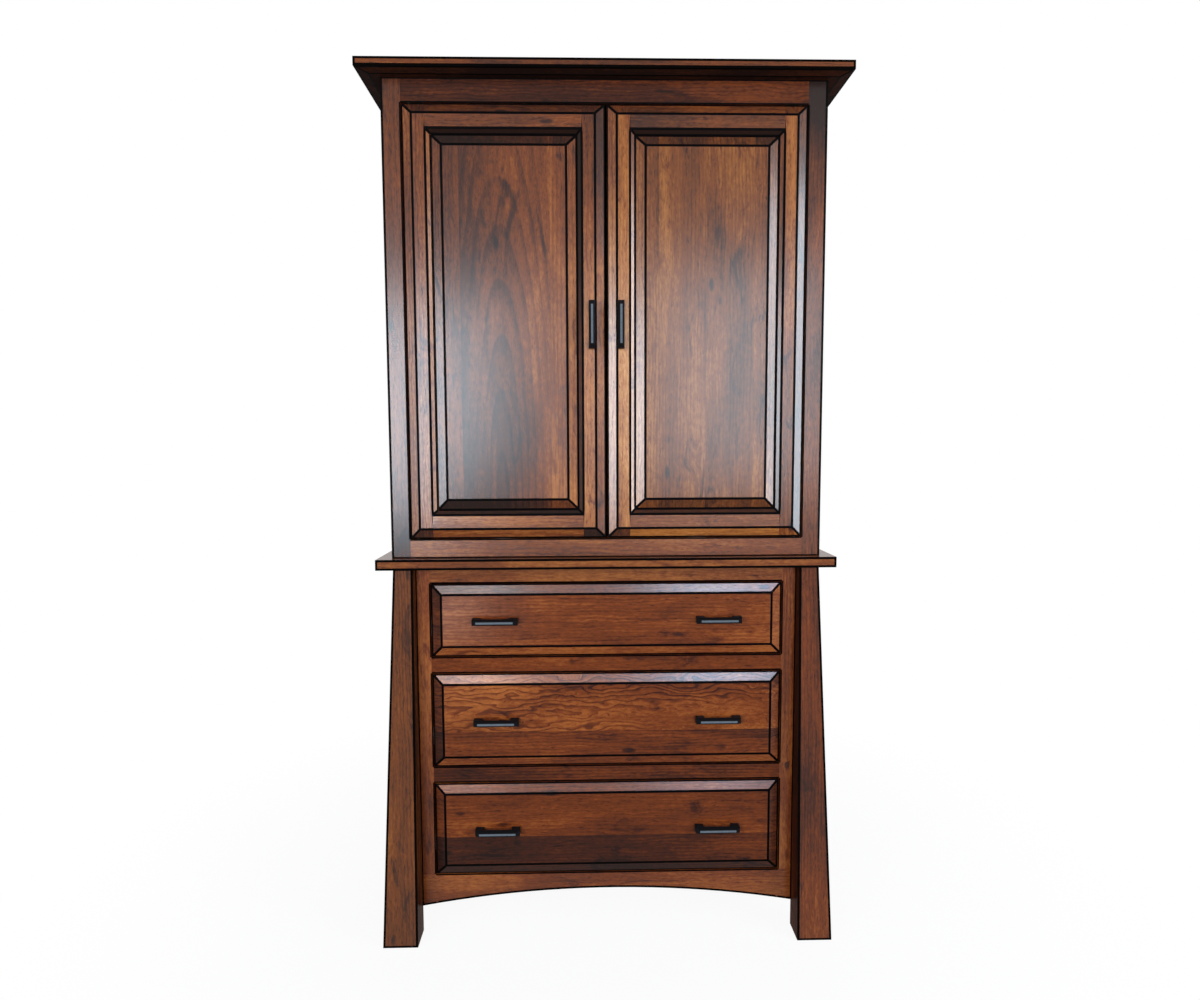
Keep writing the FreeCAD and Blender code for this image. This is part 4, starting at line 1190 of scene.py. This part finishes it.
# Lights that show only as a sheen in the lacquer, on the upper front or on the drawers, with their colours.
DAY = (0.88, 0.95, 1.0)
SKY = (0.73, 0.88, 1.0)
DEEP_SKY = (0.52, 0.74, 1.0)
SHEENS = {
    "upper": {
        "sheen_left": ((-2.07, -3.215, 1.4), (0, -0.27, 1.2), (2.6, 1.5), 352, SKY),
        "sheen_fade": ((-0.735, -3.4, 1.58), (-0.3, -0.27, 1.3), (0.23, 1.08), 17, SKY),
        "sheen_middle": ((-0.46, -3.4, 1.65), (-0.2, -0.27, 1.3), (0.32, 1.2), 6.4, SKY),
        "sheen_gap": ((0.2, -3.4, 1.54), (0, -0.27, 1.3), (0.5, 1.56), 13, SKY),
        "sheen_behind": ((1.0, -3.38, 1.6), (0.2, -0.27, 1.26), (1.1, 1.4), 68, SKY),
        "sheen_right": ((2.66, -1.7, 1.54), (0, -0.27, 1.4), (1.5, 2.1), 265, SKY),
    },
    "drawers": {
        "sheen_drawers_left": ((-0.86, -3.4, 1.85), (0, -0.27, 0.6), (0.55, 1.5), 57, DAY),
        "sheen_drawers_middle": ((0.05, -3.4, 1.75), (0, -0.27, 0.6), (0.8, 1.2), 13, DAY),
        "sheen_drawers_right": ((0.92, -3.39, 2.05), (0, -0.27, 0.6), (0.8, 1.3), 132, DEEP_SKY),
        "sheen_drawers_low": ((0.75, -3.4, 1.0), (0, -0.27, 0.6), (0.7, 0.4), 14, DEEP_SKY),
        "sheen_drawers_end": ((-1.0, -3.4, 0.13), (-0.3, -0.27, 0.6), (0.45, 0.24), 13, DAY),
    },
}
SHINING = {
    "upper": ("upper_stiles", "upper_top_rail", "upper_bottom_rail", *DOOR_BOARDS),
    "drawers": DRAWER_FRONTS,
}


def add_lamp(name, place, aim, size, power, colour):
    lamp = bpy.data.lights.new(name, "AREA")
    lamp.shape = "RECTANGLE"
    lamp.size, lamp.size_y = size
    lamp.energy = power
    lamp.color = colour
    holder = bpy.data.objects.new(name, lamp)
    holder.location = place
    holder.rotation_euler = (Vector(aim) - Vector(place)).to_track_quat("-Z", "Y").to_euler()
    bpy.context.scene.collection.objects.link(holder)
    return holder


def seen_directly(graph):
    """1 for rays from the camera and for what mirrors and glass show, else 0."""
    path = graph.node("ShaderNodeLightPath")
    seen = graph.math("MAXIMUM", path["Is Camera Ray"], path["Is Glossy Ray"])
    return graph.math("MAXIMUM", seen, path["Is Transmission Ray"])


def pale_floor(graph):
    """White floor that keeps a soft shadow near the legs and sends little light up."""
    stage = settings().stage
    shadowed, bounce = (graph.node("ShaderNodeBsdfDiffuse", {"Color": (*colour, 1)})[0]
                        for colour in (stage.floor, stage.bounce))
    glow = graph.node("ShaderNodeEmission", {"Strength": 1})[0]
    white = graph.between(graph.size(graph.place()), stage.shadow_reach, stage.floor_radius, stage.whiteness)
    lit = graph.node("ShaderNodeMixShader", (white, shadowed, glow))[0]
    floor = graph.node("ShaderNodeMixShader", (seen_directly(graph), bounce, lit))[0]
    graph.node("ShaderNodeOutputMaterial", (floor,))


def white_room():
    """A world that is white where it is seen, and a faint even light."""
    world = bpy.data.worlds.new("white_room")
    world.use_nodes = True
    graph = Graph(world.node_tree)
    fill = settings().stage.fill
    strength = graph.line(seen_directly(graph), slope=1 - fill, start=fill)
    light = graph.node("ShaderNodeBackground", {"Color": (1, 1, 1, 1), "Strength": strength})
    graph.node("ShaderNodeOutputWorld", (light[0],))
    return world


class ARMOIRE_OT_stage(bpy.types.Operator):
    """Set up the floor, the room, the lamps and the photograph's camera"""
    bl_idname = "armoire.stage"
    bl_label = "Stage"

    def execute(self, context):
        stage = settings().stage
        scene = context.scene
        scene.view_settings.view_transform = "Standard"
        self.add_floor(scene, stage)
        for name, lamp in LAMPS.items():
            add_lamp(name, *lamp, stage.daylight).visible_glossy = False
        for group, lamps in SHEENS.items():
            shining = bpy.data.collections.new(group)
            for node in SHINING[group]:
                shining.objects.link(bpy.data.objects[node + "_finish"])
            for name, lamp in lamps.items():
                holder = add_lamp(name, *lamp)
                holder.visible_diffuse = False
                holder.light_linking.receiver_collection = shining
        scene.world = white_room()
        self.add_camera(scene, stage)
        return {"FINISHED"}

    def add_floor(self, scene, stage):
        work = bmesh.new()
        bmesh.ops.create_circle(work, cap_ends=True, segments=stage.floor_sides, radius=stage.floor_radius)
        mesh = joined([work], "floor")
        mesh.materials.append(material(pale_floor))
        floor = bpy.data.objects.new("floor", mesh)
        scene.collection.objects.link(floor)

    def add_camera(self, scene, stage):
        lens = bpy.data.cameras.new("camera")
        lens.sensor_width = stage.sensor
        lens.sensor_fit = "HORIZONTAL"
        lens.lens = stage.lens
        camera = bpy.data.objects.new("camera", lens)
        turn = (Matrix.Rotation(-stage.yaw, 4, "Z") @ Matrix.Rotation(math.radians(90) + stage.pitch, 4, "X")
                @ Matrix.Rotation(stage.roll, 4, "Z"))
        camera.matrix_world = Matrix.Translation(stage.camera) @ turn
        scene.collection.objects.link(camera)
        scene.camera = camera


STEPS = (ARMOIRE_OT_case, ARMOIRE_OT_base, ARMOIRE_OT_doors, ARMOIRE_OT_drawers, ARMOIRE_OT_panels,
         ARMOIRE_OT_pulls, ARMOIRE_OT_fittings, ARMOIRE_OT_screws, ARMOIRE_OT_stage)


class ARMOIRE_PT_panel(bpy.types.Panel):
    """The steps that finish the armoire, and what can be set for them"""
    bl_idname = "ARMOIRE_PT_panel"
    bl_label = "Armoire"
    bl_space_type = "VIEW_3D"
    bl_region_type = "UI"
    bl_category = "Armoire"

    def draw(self, context):
        for step in STEPS:
            self.layout.operator(step.bl_idname)
        for name in ("wood", "edges", "hardware", "stage"):
            group = getattr(context.scene.armoire, name)
            box = self.layout.box()
            for prop in group.bl_rna.properties:
                if prop.identifier not in ("rna_type", "name"):
                    box.prop(group, prop.identifier)


CLASSES = (WoodSettings, EdgeSettings, HardwareSettings, StageSettings, ArmoireSettings, *STEPS,
           ARMOIRE_PT_panel)


def register():
    for cls in CLASSES:
        bpy.utils.register_class(cls)
    bpy.types.Scene.armoire = PointerProperty(type=ArmoireSettings)


def unregister():
    del bpy.types.Scene.armoire
    for cls in reversed(CLASSES):
        bpy.utils.unregister_class(cls)


def main():
    register()
    bpy.ops.armoire.case()
    bpy.ops.armoire.base()
    bpy.ops.armoire.doors()
    bpy.ops.armoire.drawers()
    bpy.ops.armoire.panels()
    bpy.ops.armoire.pulls()
    bpy.ops.armoire.fittings()
    bpy.ops.armoire.screws()
    bpy.ops.armoire.stage()


if __name__ == "__main__":
    main()
